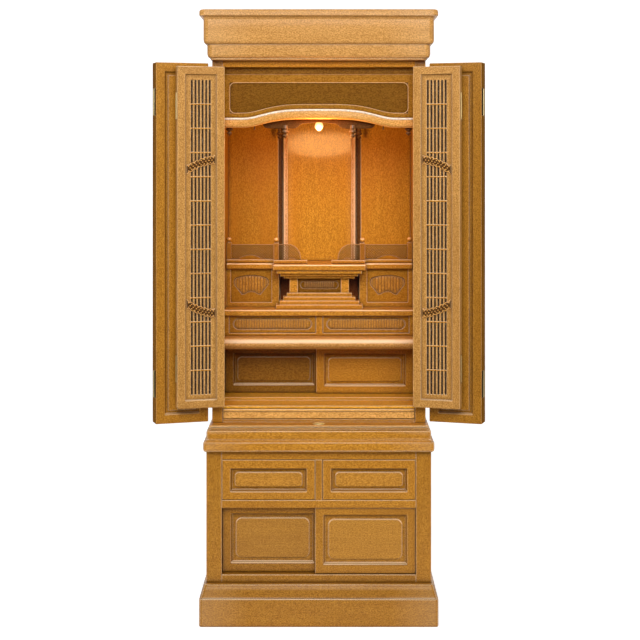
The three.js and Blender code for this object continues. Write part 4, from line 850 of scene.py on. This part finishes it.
class CABINET_OT_lattice(bpy.types.Operator):
    """Adds the cross bars, the gauze and the carved bands to the lattice leaves"""

    bl_idname = "cabinet.lattice"
    bl_label = "Lattice and gauze"

    def execute(self, context):
        settings = cabinet_settings(context)
        gauze_finish(settings.fittings.gauze)
        for side, _ in SIDES:
            for leaf in ("lattice", "lattice_fold"):
                self.fill(LEAVES[leaf], side, settings)
        return {"FINISHED"}

    def fill(self, leaf, side, settings):
        rows, bar = settings.fittings.rows, settings.fittings.bar
        name, body = leaf.node(side), leaf.body(side)
        low, high = tall(name)
        x0, face = leaf.corner
        z0 = LATTICE_STILE + SLOT_BORDER
        z1 = high - low - z0
        columns = [
            x0 + leaf.width / 2 + (i - (SLOT_COLUMNS - 1) / 2) * SLOT_PITCH
            for i in range(SLOT_COLUMNS)]
        cloth = Piece()
        cloth.at = leaf.place(side)
        floor = face + LATTICE_SINK + SLOT_DEPTH - PANEL_GAP
        for x in columns:
            half = SLOT_WIDTH / 2 - PANEL_GAP
            cloth.box(
                (x - half, floor - 0.3 * MM, z0 + PANEL_GAP), (x + half, floor, z1 - PANEL_GAP))
        cloth.make(name + "_gauze", body, ["gauze"])
        bars = Piece()
        bars.at = leaf.place(side)
        ground = face + LATTICE_SINK
        reach = SLOT_WIDTH / 2 + 1.2 * MM
        pitch = (z1 - z0) / rows
        for k in range(1, rows):
            z = z0 + k * pitch
            bars.rounded_box(
                (columns[0] - reach, ground - 0.35 * MM, z - bar / 2),
                (columns[-1] + reach, ground + 2.4 * MM, z + bar / 2),
                0.3 * MM)
        bars.make(name + "_bars", body, ["rail_wood"])
        if leaf.folded:
            for number, (share, turn) in enumerate(ORNAMENTS):
                self.band(number, share, turn, leaf, side, high - low)

    def band(self, number, share, turn, leaf, side, height):
        """Openwork band: dark cells with a gilt dot each, between two gilt rims."""
        x0, face = leaf.corner
        left = x0 + (leaf.width - ORNAMENT_WIDTH) / 2
        ground = face + LATTICE_SINK - ORNAMENT_PROUD

        def middle(t):
            return height * share + turn * ORNAMENT_RISE * (math.sin(t * math.pi / 2) - 0.5)

        def edge(t, way, inset):
            half = ORNAMENT_HEIGHT / 2 * (0.86 + 0.14 * math.cos(t * 12 * math.pi)) - inset
            return left + ORNAMENT_WIDTH * t, middle(t) + way * half

        carved = Piece()
        carved.at = leaf.place(side)
        steps = 24
        rims = {way: [edge(i / steps, way, 0.0) for i in range(steps + 1)] for way in (-1, 1)}
        carved.kind = 1
        carved.slab(rims[-1] + rims[1][::-1], ground - 0.5 * MM, ground + 0.4 * MM)
        carved.kind = 0
        for way in (-1, 1):
            path = [edge(i / steps, way, 0.7 * MM) for i in range(steps + 1)]
            carved.bead(path, ground - 0.5 * MM, 1.0 * MM)
        columns = 9
        for i in range(columns):
            for row in (-1, 0, 1):
                x = left + ORNAMENT_WIDTH * (i + (1.0 if row == 0 else 0.5)) / columns
                if row == 0 and i == columns - 1:
                    continue
                z = middle((x - left) / ORNAMENT_WIDTH) + row * 6.0 * MM
                petal = [(x + 1.9 * MM * math.cos(a), z + 1.4 * MM * math.sin(a))
                         for a in (math.pi / 4 * k for k in range(8))]
                carved.slab(petal, ground - 1.1 * MM, ground - 0.3 * MM, 0.4 * MM)
        carved.make(
            f"{leaf.node(side)}_carving_{number}", leaf.body(side),
            ["cell_wood", "carving_wood"])


class CABINET_OT_hinges(bpy.types.Operator):
    """Makes the brass hinges: those of the folds and those that hang the leaves on the posts"""

    bl_idname = "cabinet.hinges"
    bl_label = "Hinges"

    LENGTH = 72 * MM
    INSET = 70 * MM
    BARREL = 1.5 * MM
    POST_BARREL = {"outer": 2.4 * MM, "lattice": 0.45 * MM}
    PLATE = 1.2 * MM
    KNUCKLES = 5

    def execute(self, context):
        brass = cabinet_settings(context).fittings.brass
        brass_finish("brass", brass)
        brass_finish("aged_brass", shade(brass, 0.05), 0.0)
        for side, _ in SIDES:
            for family in ("outer", "lattice"):
                low, high = tall(LEAVES[family].node(side))
                starts = {"low": self.INSET, "high": high - low - self.INSET - self.LENGTH}
                for level, z in starts.items():
                    self.fold(family, side, level, z)
                    self.post(family, side, level, z)
        return {"FINISHED"}

    def barrel(self, piece, x, y, z, radius):
        gap = 0.4 * MM
        step = self.LENGTH / self.KNUCKLES
        for k in range(self.KNUCKLES):
            z0, z1 = k * step + gap / 2, (k + 1) * step - gap / 2
            ease = 0.35 * MM
            slim = radius - ease
            ends = (slim, z0), (radius, z0 + ease), (radius, z1 - ease), (slim, z1)
            piece.lathe(ends, (x, y, z), 20, 1, 1)
        piece.lathe([(radius * 0.62, 0.0), (radius * 0.62, self.LENGTH)], (x, y, z), 12, 1, 1)

    def fold(self, family, side, level, z):
        """The hinge of a fold: its barrel, and its plate let into the end of the first leaf."""
        leaf = LEAVES[family]
        thickness = OUTER_THICKNESS if leaf.outer else LATTICE_THICKNESS
        inward = 1 if leaf.outer else -1
        x0, face = leaf.corner
        pin_x = x0 + leaf.width + LEAF_JOINT / 2
        pin_y = face - FOLD_PROUD if leaf.outer else face + thickness + FOLD_PROUD
        piece = Piece()
        piece.at = leaf.place(side)
        self.barrel(piece, pin_x, pin_y, z, self.BARREL)
        # the plate is coloured as the painted shadow of its mortise
        piece.kind = 1
        plate = sorted((pin_y + inward * 2 * MM, pin_y + inward * (thickness - 2.5 * MM)))
        piece.rounded_box(
            (pin_x - LEAF_JOINT / 2 - self.PLATE, plate[0], z),
            (pin_x - LEAF_JOINT / 2, plate[1], z + self.LENGTH), 0.2 * MM)
        node = "_".join((family, "hinge", level, side))
        finishes = ["brass", "aged_brass"]
        made = piece.make(node + "_brass", leaf.body(side), finishes)
        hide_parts(node)

    def post(self, family, side, level, z):
        """The barrel on the post that the leaf turns about."""
        piece = Piece()
        piece.at = LEAVES[family].place(side)
        self.barrel(piece, 0.0, 0.0, z, self.POST_BARREL[family])
        piece.make(
            "_".join((family, "pin", level, side)), CABINET, ["brass"])


class CABINET_OT_head(bpy.types.Operator):
    """Carves the head of the niche: bead round the frieze, cusped valance, pendants and pegs"""

    bl_idname = "cabinet.head"
    bl_label = "Valance and frieze"

    SPRING = 208 * MM
    FLATTEN = 1.95
    RISE = 24 * MM
    LIP = 3.0 * MM
    PENDANT = (
        (0.0, -32), (1.6, -30.4), (4.4, -26.6), (5.0, -24.2), (3.4, -21.6), (2.4, -19.8),
        (4.8, -17.6), (6.8, -14.4), (6.6, -11.6), (4.2, -8.8), (3.4, -6.4), (5.0, -5.2),
        (5.2, -2.8), (4.4, 0.0), (4.2, 4.0))
    PEG = ((1.2, -13), (2.2, -11), (1.8, 0), (1.8, 8))
    CUSPS = (
        (158, 12), (154, 10.5), (153, 6.5), (149, 3), (144, 0.8), (137, 0), (118, -0.6), (92, -1),
        (72, -0.6), (64, 0.4), (61, 3), (57.5, 3.4), (55, 6), (54, 9), (50, 10), (46, 12.5))

    def arch(self, x):
        t = min(1.0, abs(x) / self.SPRING) ** self.FLATTEN
        return self.RISE * 0.5 * (1 + math.cos(math.pi * t))

    def execute(self, context):
        self.frieze_bead()
        self.valance()
        self.back_joints()
        return {"FINISHED"}

    @staticmethod
    def back_joints():
        """The boards behind the joints of the back, coloured as painted shade, the board behind
        the pedestal, and the panel's bevels, coloured as painted highlight.
        """
        low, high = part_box("back_panel_centre")
        half, floor = high.x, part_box("altar_top")[1].z + 1 * MM
        behind = Piece()
        bevels = Piece()
        for sign in (-1, 1):
            near, far = sorted((sign * (half + 3 * MM), sign * (half + 15.8 * MM)))
            behind.box((near, low.y + 19 * MM, floor), (far, low.y + 21 * MM, high.z))
            profile = [(half - 0.3 * MM, 0.0), (half - 1.5 * MM, -0.8 * MM),
                       (half - 12 * MM, -2.4 * MM), (half - 13 * MM, 0.0)]
            bevels.loft([
                [(sign * x, low.y - PANEL_GAP + y, z) for x, y in profile[::sign]]
                for z in (floor, high.z - 1 * MM)])
        behind.make("back_joint_boards", CABINET, ["joint_wood"])
        bevels.make("back_panel_bevels", CABINET, ["bevel_wood"])
        low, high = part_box("altar_pedestal")
        board = Piece()
        board.box((-114 * MM, 100 * MM, low.z + 0.5 * MM), (114 * MM, 104 * MM, high.z - 0.5 * MM))
        board.make("pedestal_backing", CABINET, ["backing_wood"])

    def frieze_bead(self):
        """The thin bead round the sunken field of the frieze, and the lintel's lip, a bead
        coloured as a painted highlight.
        """
        low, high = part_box("frieze")
        half, head, foot, corner = 244 * MM, high.z - 45 * MM, 1374.5 * MM, 15 * MM
        inner, upper, lower = half - corner, head - corner, foot + corner
        path = []
        for i in range(41):
            x = inner * (i / 20 - 1)
            path.append((x, foot + self.arch(x)))
        for cx, cz, start in (
                (inner, lower, -90), (inner, upper, 0), (-inner, upper, 90), (-inner, lower, 180)):
            for i in range(1 if start == -90 else 0, 7 if start < 180 else 6):
                a = math.radians(start + i * 15)
                path.append((cx + corner * math.cos(a), cz + corner * math.sin(a)))
        bead = Piece()
        bead.bead(path, low.y + 0.2 * MM, 1.3 * MM, closed=True)
        bead.make("frieze_bead", CABINET, ["bead_wood"])
        low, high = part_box("lintel")
        top = high.z - self.RISE
        lip = Piece()
        reach = high.x - 1 * MM
        places = [reach * (i / 30 - 1) for i in range(61)]
        path = [(x, top - self.LIP + self.arch(x)) for x in places]
        lip.bead(path, low.y + 0.8 * MM, self.LIP, flat=0.7)
        lip.make("lintel_lip", CABINET, ["lip_wood"])

    def valance(self):
        low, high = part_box("valance")
        y0 = (low.y + high.y) / 2 - 4 * MM
        y1 = y0 + 8 * MM
        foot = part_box("lintel")[0].z
        lobe = foot - 1 * MM
        right = [(x * MM, lobe + z * MM) for x, z in self.CUSPS]
        inner = high.x
        outline = [(-inner, foot + 27 * MM), (-inner, foot + 6 * MM), (-234 * MM, foot + 6 * MM),
                   (-178 * MM, foot + 14 * MM)]
        outline += [(-x, z) for x, z in right]
        outline += [(0.0, foot + 15 * MM)]
        outline += right[::-1]
        outline += [(178 * MM, foot + 14 * MM), (234 * MM, foot + 6 * MM), (inner, foot + 6 * MM),
                    (inner, foot + 27 * MM)]
        board = Piece()
        board.slab(outline, y0, y1, 0.8 * MM)
        middle = (y0 + y1) / 2
        board.kind = 1
        for x, z in ((92, lobe + 4 * MM), (246, foot + 10 * MM)):
            for sign in (-1, 1):
                board.lathe(self.PENDANT, (sign * x * MM, middle, z), 20, 1.5 * MM)
                self.curls(board, sign * x * MM, middle, z - 14.4 * MM)
        for sign in (-1, 1):
            board.lathe(self.PEG, (sign * 177 * MM, middle, foot + 8 * MM), 12)
        made = board.make(
            "valance_carving", CABINET, ["carving_wood", "pendant_wood"])
        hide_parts("valance")

        rear = Piece()
        y2 = FRONT + 322 * MM
        rear.box((-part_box("ceiling")[1].x + 0.5 * MM, y2, foot + 24 * MM),
                 (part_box("ceiling")[1].x - 0.5 * MM, y2 + 6 * MM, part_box("ceiling")[0].z))
        for sign in (-1, 1):
            x = sign * 117 * MM
            rear.lathe(self.PENDANT, (x, y2 + 3 * MM, foot + 1 * MM), 20, 1.2 * MM, 0.9 * MM)
            rear.box((x - 5 * MM, y2 + 0.5 * MM, foot + 1 * MM),
                     (x + 5 * MM, y2 + 5.5 * MM, foot + 26 * MM))
        rear.make("rear_valance", CABINET, ["pendant_wood"], ease=0.5 * MM)

    @staticmethod
    def curls(piece, x, y, z):
        """Four small leaves round a pendant."""
        for k in range(4):
            a = math.pi / 4 + k * math.pi / 2
            cx, cy = x + 5.6 * MM * math.cos(a), y + 5.6 * MM * math.sin(a)
            piece.lathe(
                [(0.0, -3.4), (1.6, -2.2), (2.1, 0.0), (1.4, 2.4), (0.0, 3.6)], (cx, cy, z), 10)


class CABINET_OT_railings(bpy.types.Operator):
    """Makes the altar railings: base board, fretted panel, post and ball"""

    bl_idname = "cabinet.railings"
    bl_label = "Railings"

    POST = 14.6 * MM
    POST_HEIGHT = 49 * MM
    BASE = 10 * MM
    PANEL = 43 * MM
    SETBACK = 6 * MM
    DEPTH = 20 * MM
    THICKNESS = 6 * MM
    BORDER = 2.4 * MM
    SWEEP = 34 * MM
    CLEAR = ((0, 0), (1.5, 0), (-1.5, 0), (0, 1.5), (0, -1.5))

    def execute(self, context):
        pitch = cabinet_settings(context).fittings.fret_pitch
        for side, sign in SIDES:
            self.outer(side, sign, pitch)
            self.inner(side, sign, pitch)
        return {"FINISHED"}

    def outer(self, side, sign, pitch):
        node = "railing_outer_" + side
        low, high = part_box(node)
        z0 = low.z + self.BASE
        top = z0 + self.PANEL
        x0, x1 = low.x, high.x
        middle, arch = (x0 + x1) / 2, 32 * MM
        outline = [(x0, z0), (middle - arch, z0), (middle - arch, z0 + 1 * MM)]
        outline += curve(outline[-1], (middle, z0 + 20 * MM), (middle + arch, z0 + 1 * MM), 12)
        outline += [(middle + arch, z0), (x1, z0), (x1, top), (x0, top)]
        post = sign * (max(abs(x0), abs(x1)) - self.POST / 2)
        self.railing(node, low, outline, (x0, x1), post, pitch)

    def inner(self, side, sign, pitch):
        node = "railing_inner_" + side
        low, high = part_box(node)
        z0 = low.z + self.BASE
        foot, head = min(abs(low.x), abs(high.x)), max(abs(low.x), abs(high.x))
        post = head - self.POST / 2
        near, far = post - self.POST / 2 + 1 * MM, foot + 20 * MM
        outline = [(near, z0), (near, z0 + self.PANEL)]
        for i in range(13):
            t = math.pi / 2 * (1 - i / 12)
            x = far + self.SWEEP * (1 - math.cos(t))
            outline.append((x, z0 + 3 * MM + (self.PANEL - 3 * MM) * math.sin(t)))
        outline += [(far, z0), (far + 10 * MM, z0)]
        outline += curve(outline[-1], (far + 25 * MM, z0 + 12 * MM), (far + 40 * MM, z0), 8)
        outline = [(sign * x, z) for x, z in outline]
        if sign > 0:
            outline = outline[::-1]
        self.railing(node, low, outline, (low.x, high.x), sign * post, pitch)

    def railing(self, node, low, outline, ends, post_x, pitch):
        y0 = low.y
        z0 = low.z
        face = y0 + self.SETBACK
        middle = face + self.THICKNESS / 2
        board = Piece()
        board.rounded_box((ends[0], y0, z0), (ends[1], y0 + self.DEPTH, z0 + self.BASE), 1.2 * MM)
        board.kind = 1
        half = self.POST / 2
        zp = z0 + self.BASE
        board.rounded_box(
            (post_x - half, middle - half, zp),
            (post_x + half, middle + half, zp + self.POST_HEIGHT), 1.0 * MM)
        head = (post_x, middle, zp + self.POST_HEIGHT)
        board.lathe(((5.4, 0), (5.4, 1.0), (3.2, 1.8), (3.0, 2.4)), head, 20)
        ball = [(7 * math.sin(a), 8.2 - 7 * math.cos(a))
                for a in (math.radians(25 + 155 * i / 12) for i in range(13))]
        board.kind = 3
        board.lathe(ball, head, 28)
        board.kind = 1
        board.loft(self.border(outline, face, face + self.THICKNESS), closed=True)
        board.kind = 2
        self.fret(board, shrunk(outline, self.BORDER * 0.6), middle, pitch)
        made = board.make(
            node + "_fretwork", CABINET,
            ["rail_wood", "post_wood", "fret_wood", "knob_wood"])
        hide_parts(node)

    def border(self, outline, y0, y1):
        """Rings of a flat frame that follows the outline."""
        inner = shrunk(outline, self.BORDER)
        return [[(a[0], y0, a[1]), (b[0], y0, b[1]), (b[0], y1, b[1]), (a[0], y1, a[1])]
                for a, b in zip(outline, inner)]

    def fret(self, piece, outline, y, pitch):
        """Two families of slanting bars with a small flower on each crossing."""
        xs, zs = [p[0] for p in outline], [p[1] for p in outline]
        x0, x1, z0, z1 = min(xs), max(xs), min(zs), max(zs)
        half, deep = 0.75 * MM, 1.0 * MM
        for way in (-1, 1):
            run = Vector((way, 1)).normalized()
            side = Vector((-run.y, run.x))
            before = math.ceil((z1 - z0) / pitch)
            reach = (x1 - x0) + (z1 - z0)
            for k in range(int(reach / pitch) + 2):
                start = (x0 + (k - before if way > 0 else k) * pitch, z0)
                for a, b in crossings(outline, start, tuple(run)):
                    p, q = (Vector(start) + run * t for t in (a, b))
                    corners = [p - side * half, q - side * half, q + side * half, p + side * half]
                    piece.loft([[(c.x, y + d, c.y) for c in corners] for d in (deep, -deep)])
        rows = int((z1 - z0) / (pitch / 2)) + 1
        for row in range(rows):
            z = z0 + row * pitch / 2
            for k in range(int((x1 - x0) / pitch) + 2):
                x = x0 + k * pitch + (row % 2) * pitch / 2
                if all(inside(outline, x + dx * MM, z + dz * MM) for dx, dz in self.CLEAR):
                    flower = [(x + 1.2 * MM * math.cos(a), z + 1.2 * MM * math.sin(a))
                              for a in (math.pi / 4 * i for i in range(8))]
                    piece.slab(flower, y - 1.5 * MM, y + 1.4 * MM)


class CABINET_OT_reeding(bpy.types.Operator):
    """Lays the reeds on the fan, drawer and pedestal cartouches"""

    bl_idname = "cabinet.reeding"
    bl_label = "Reeded cartouches"

    FAN = (52 * MM, 56 * MM, 2.5 * MM)
    BEAD = 0.75 * MM

    def execute(self, context):
        for side, sign in SIDES:
            self.fan(side, sign)
            self.drawer(side)
        self.waist()
        return {"FINISHED"}

    def reeds(self, piece, outline, centres, width, y, proud):
        for x in centres:
            ends = [span(outline, x + d) for d in (-width * 0.4, 0.0, width * 0.4)]
            if None in ends:
                continue
            z0 = max(e[0] for e in ends)
            z1 = min(e[1] for e in ends)
            if z1 - z0 < 3 * width:
                continue
            rings = []
            for z, size in ((z0, 0.35), (z0 + width * 0.35, 0.85), (z0 + width * 0.8, 1.0),
                            (z1 - width * 0.8, 1.0), (z1 - width * 0.35, 0.85), (z1, 0.35)):
                rings.append([
                    (x - width / 2 * size * math.cos(a), y - proud * size * math.sin(a), z)
                    for a in (math.pi * i / 6 for i in range(7))])
            piece.loft(rings)

    def ring(self, piece, outline, y):
        """The line round a cartouche: a lit lower bead and a shaded upper one."""
        for kind, shift in ((2, 0.5 * MM), (1, -0.6 * MM)):
            piece.kind = kind
            piece.bead([(x, z + shift) for x, z in outline], y, self.BEAD, closed=True)

    def fan(self, side, sign):
        node = "altar_side_" + side
        low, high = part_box(node)
        half, height, border = self.FAN
        cx = sign * 196.6 * MM
        foot = low.z + 13 * MM
        cz = foot + (high.z - foot) * 0.52
        w = half - border - 1 * MM
        top, base = cz + height / 2 - border - 1 * MM, cz - height / 2 + border + 1 * MM
        dip, eave = base + height * 0.1, top - height * 0.1
        brow = top - height * 0.16
        outline = [(cx - w * 0.52, base)]
        for control, end, steps in (
                ((-0.3, base + 1 * MM), (-0.26, dip), 5),
                ((0, base + height * 0.2), (0.26, dip), 5),
                ((0.3, base + 1 * MM), (0.52, base), 5),
                ((0.73, (base + cz) / 2), (0.94, cz), 1),
                ((1.04, brow), (0.8, eave), 5),
                ((0, top + height * 0.14), (-0.8, eave), 10),
                ((-1.04, brow), (-0.94, cz), 5)):
            over, place = (cx + w * control[0], control[1]), (cx + w * end[0], end[1])
            outline += curve(outline[-1], over, place, steps)
        pitch = 2 * half / 12
        piece = Piece()
        y = low.y + 5 * MM - PANEL_GAP
        centres = [cx - half + pitch * (i + 0.5) for i in range(12)]
        self.reeds(piece, outline, centres, pitch * 0.86, y, 1.1 * MM)
        self.ring(piece, shrunk(outline, -1.6 * MM), y)
        finishes = ["reed_wood", "bead_wood", "carving_wood"]
        piece.make(node + "_reeds", CABINET, finishes)

    def pill(self, cx, half, z0, z1):
        radius = (z1 - z0) / 2
        cz = (z0 + z1) / 2
        outline = []
        for sign, start in ((1, -90), (-1, 90)):
            for i in range(9):
                a = math.radians(start + i * 22.5)
                x = cx + sign * (half - radius) + radius * math.cos(a)
                outline.append((x, cz + radius * math.sin(a)))
        return outline

    def drawer(self, side):
        node = "step_drawer_" + side
        low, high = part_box(node)
        cx = (low.x + high.x) / 2
        outline = self.pill(cx, 109 * MM, low.z + 11.5 * MM, low.z + 38 * MM)
        pitch = 191.5 * MM / 26
        centres = [cx + (i - 13.5) * pitch for i in range(28)]
        piece = Piece()
        self.reeds(piece, outline, centres, pitch * 0.86, low.y - PANEL_GAP, 0.7 * MM)
        self.ring(piece, shrunk(outline, -1.4 * MM), low.y - PANEL_GAP)
        finishes = ["reed_wood", "bead_wood", "carving_wood"]
        piece.make(node + "_reeds", node, finishes)

    def waist(self):
        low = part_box("altar_pedestal")[0]
        outline = self.pill(0.0, 52.5 * MM, low.z + 57 * MM, low.z + 75 * MM)
        pitch = 87 * MM / 14
        centres = [(i - 7.5) * pitch for i in range(16)]
        piece = Piece()
        self.reeds(piece, outline, centres, pitch * 0.86, low.y + 40 * MM - PANEL_GAP, 0.7 * MM)
        self.ring(piece, shrunk(outline, -1.2 * MM), low.y + 40 * MM - PANEL_GAP)
        finishes = ["dark_reed_wood", "post_wood", "carving_wood"]
        piece.make("altar_pedestal_reeds", CABINET, finishes)


class CABINET_OT_fittings(bpy.types.Operator):
    """Makes the lamp with its light, and the brass door catch"""

    bl_idname = "cabinet.fittings"
    bl_label = "Lamp and catch"

    BULB = ((0.5, 0), (3.5, 1), (7.6, 4.6), (10.8, 9.4), (11.9, 14), (11.2, 18.6), (9.2, 23),
            (8.2, 27))
    HOLDER = ((9.4, 26.6), (9.6, 28), (9.6, 44), (8.6, 46), (2.9, 46.4), (2.9, 60))
    CUP = ((14.5, -9.6), (14.6, -1.0), (16.2, -1.0), (17.0, -0.6), (16.8, -0.15), (15.8, 0.0),
           (13.8, -0.1), (12.9, -0.6), (12.7, -2.0), (12.4, -6.0), (11.0, -7.4), (0.0, -7.7))

    def execute(self, context):
        settings = cabinet_settings(context)
        lamp_finish(settings.lamp.colour, 0.95)
        low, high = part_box("lamp")
        x, y = (low.x + high.x) / 2, (low.y + high.y) / 2
        lamp = Piece()
        lamp.lathe(self.BULB, (x, y, low.z), 28)
        lamp.kind = 1
        lamp.lathe(self.HOLDER, (x, y, low.z))
        radius, top = self.HOLDER[-1]
        lamp.lathe([(radius, top), (radius, (high.z - low.z) / MM)], (x, y, low.z), 12)
        made = lamp.make(
            "lamp_bulb", CABINET, ["lamp_glass", "brass"])
        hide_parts("lamp")
        light = bpy.data.lights.new("lamp_light", "POINT")
        light.energy = settings.lamp.power
        light.color = settings.lamp.colour
        light.shadow_soft_size = 40 * MM
        glow = bpy.data.objects.new("lamp_light", light)
        glow.location = (x, y - 50 * MM, low.z - 30 * MM)
        context.scene.collection.objects.link(glow)

        low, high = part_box("door_catch")
        centre = ((low.x + high.x) / 2, (low.y + high.y) / 2, high.z)
        catch = Piece()
        catch.lathe(self.CUP, centre, 40)
        made = catch.make("door_catch_cup", CABINET, ["brass"])
        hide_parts("door_catch")
        return {"FINISHED"}


class CABINET_OT_studio(bpy.types.Operator):
    """Sets up the seamless paper, the soft lights and the camera"""

    bl_idname = "cabinet.studio"
    bl_label = "Studio"

    def execute(self, context):
        studio = cabinet_settings(context).studio
        self.paper(context, studio)
        self.soft_light(context, "key", (0.0, -3.1, 2.7), (0, 0, 1.4), (3.0, 2.0), studio.key, 95)
        for name, sign in (("left", -1), ("right", 1)):
            self.soft_light(
                context, name, (sign * 3.4, -1.3, 2.0), (0, 0, 1.2), (0.9, 1.8), studio.rim, 110)
        world = bpy.data.worlds.new("studio")
        context.scene.world = world
        world.use_nodes = True
        background = world.node_tree.nodes["Background"]
        background.inputs["Color"].default_value = (1, 1, 1, 1)
        background.inputs["Strength"].default_value = studio.fill
        camera = bpy.data.objects.new("camera", bpy.data.cameras.new("camera"))
        camera.location = (studio.aside, FRONT - studio.distance, studio.eye)
        camera.rotation_euler = (math.pi / 2, 0, 0)
        camera.data.lens = studio.lens
        camera.data.sensor_width = 36
        camera.data.shift_x, camera.data.shift_y = studio.shift
        context.scene.collection.objects.link(camera)
        context.scene.camera = camera
        context.scene.view_settings.view_transform = "Standard"
        return {"FINISHED"}

    @staticmethod
    def paper(context, studio):
        """A floor that sweeps up into a backdrop behind the cabinet."""
        section = [(-7.0, 0.0), (2.2, 0.0)]
        for i in range(1, 13):
            a = math.radians(i * 7.5)
            section.append((2.2 + 1.4 * math.sin(a), 1.4 - 1.4 * math.cos(a)))
        section.append((3.6, 7.0))
        points = [(x, y, z) for y, z in section for x in (-7.0, 7.0)]
        faces = [(2 * i, 2 * i + 1, 2 * i + 3, 2 * i + 2) for i in range(len(section) - 1)]
        mesh = bpy.data.meshes.new("studio_paper")
        mesh.from_pydata(points, [], faces)
        for polygon in mesh.polygons:
            polygon.use_smooth = True
        mesh.materials.append(paper_finish(tuple(studio.paper)))
        paper = bpy.data.objects.new("studio_paper", mesh)
        context.scene.collection.objects.link(paper)

    @staticmethod
    def soft_light(context, name, place, target, size, power, spread):
        light = bpy.data.lights.new("soft_" + name, "AREA")
        light.shape = "RECTANGLE"
        light.size, light.size_y = size
        light.energy = power
        light.spread = math.radians(spread)
        holder = bpy.data.objects.new("soft_" + name, light)
        holder.location = place
        sight = Vector(target) - Vector(place)
        holder.rotation_euler = sight.to_track_quat("-Z", "Y").to_euler()
        context.scene.collection.objects.link(holder)


OPERATORS = (
    CABINET_OT_boards, CABINET_OT_hinges, CABINET_OT_lattice, CABINET_OT_head, CABINET_OT_railings,
    CABINET_OT_reeding, CABINET_OT_fittings, CABINET_OT_studio,
)


class CABINET_PT_looks(bpy.types.Panel):
    """Lists the cabinet's settings and the operators that dress it"""

    bl_label = "Altar cabinet"
    bl_space_type = "VIEW_3D"
    bl_region_type = "UI"
    bl_category = "Cabinet"

    def draw(self, context):
        settings = cabinet_settings(context)
        for group in (settings.wood, settings.fittings, settings.lamp, settings.studio):
            box = self.layout.box()
            for name in group.__annotations__:
                box.prop(group, name)
        for operator in OPERATORS:
            self.layout.operator(operator.bl_idname)


CLASSES = (
    WoodSettings, FittingSettings, LampSettings, StudioSettings, CabinetSettings, *OPERATORS,
    CABINET_PT_looks,
)


def register():
    for cls in CLASSES:
        bpy.utils.register_class(cls)
    bpy.types.Scene.altar_cabinet = bpy.props.PointerProperty(type=CabinetSettings)


def unregister():
    del bpy.types.Scene.altar_cabinet
    for cls in reversed(CLASSES):
        bpy.utils.unregister_class(cls)


def main():
    register()
    for operator in OPERATORS:
        group, name = operator.bl_idname.split(".")
        getattr(getattr(bpy.ops, group), name)()


if __name__ == "__main__":
    main()
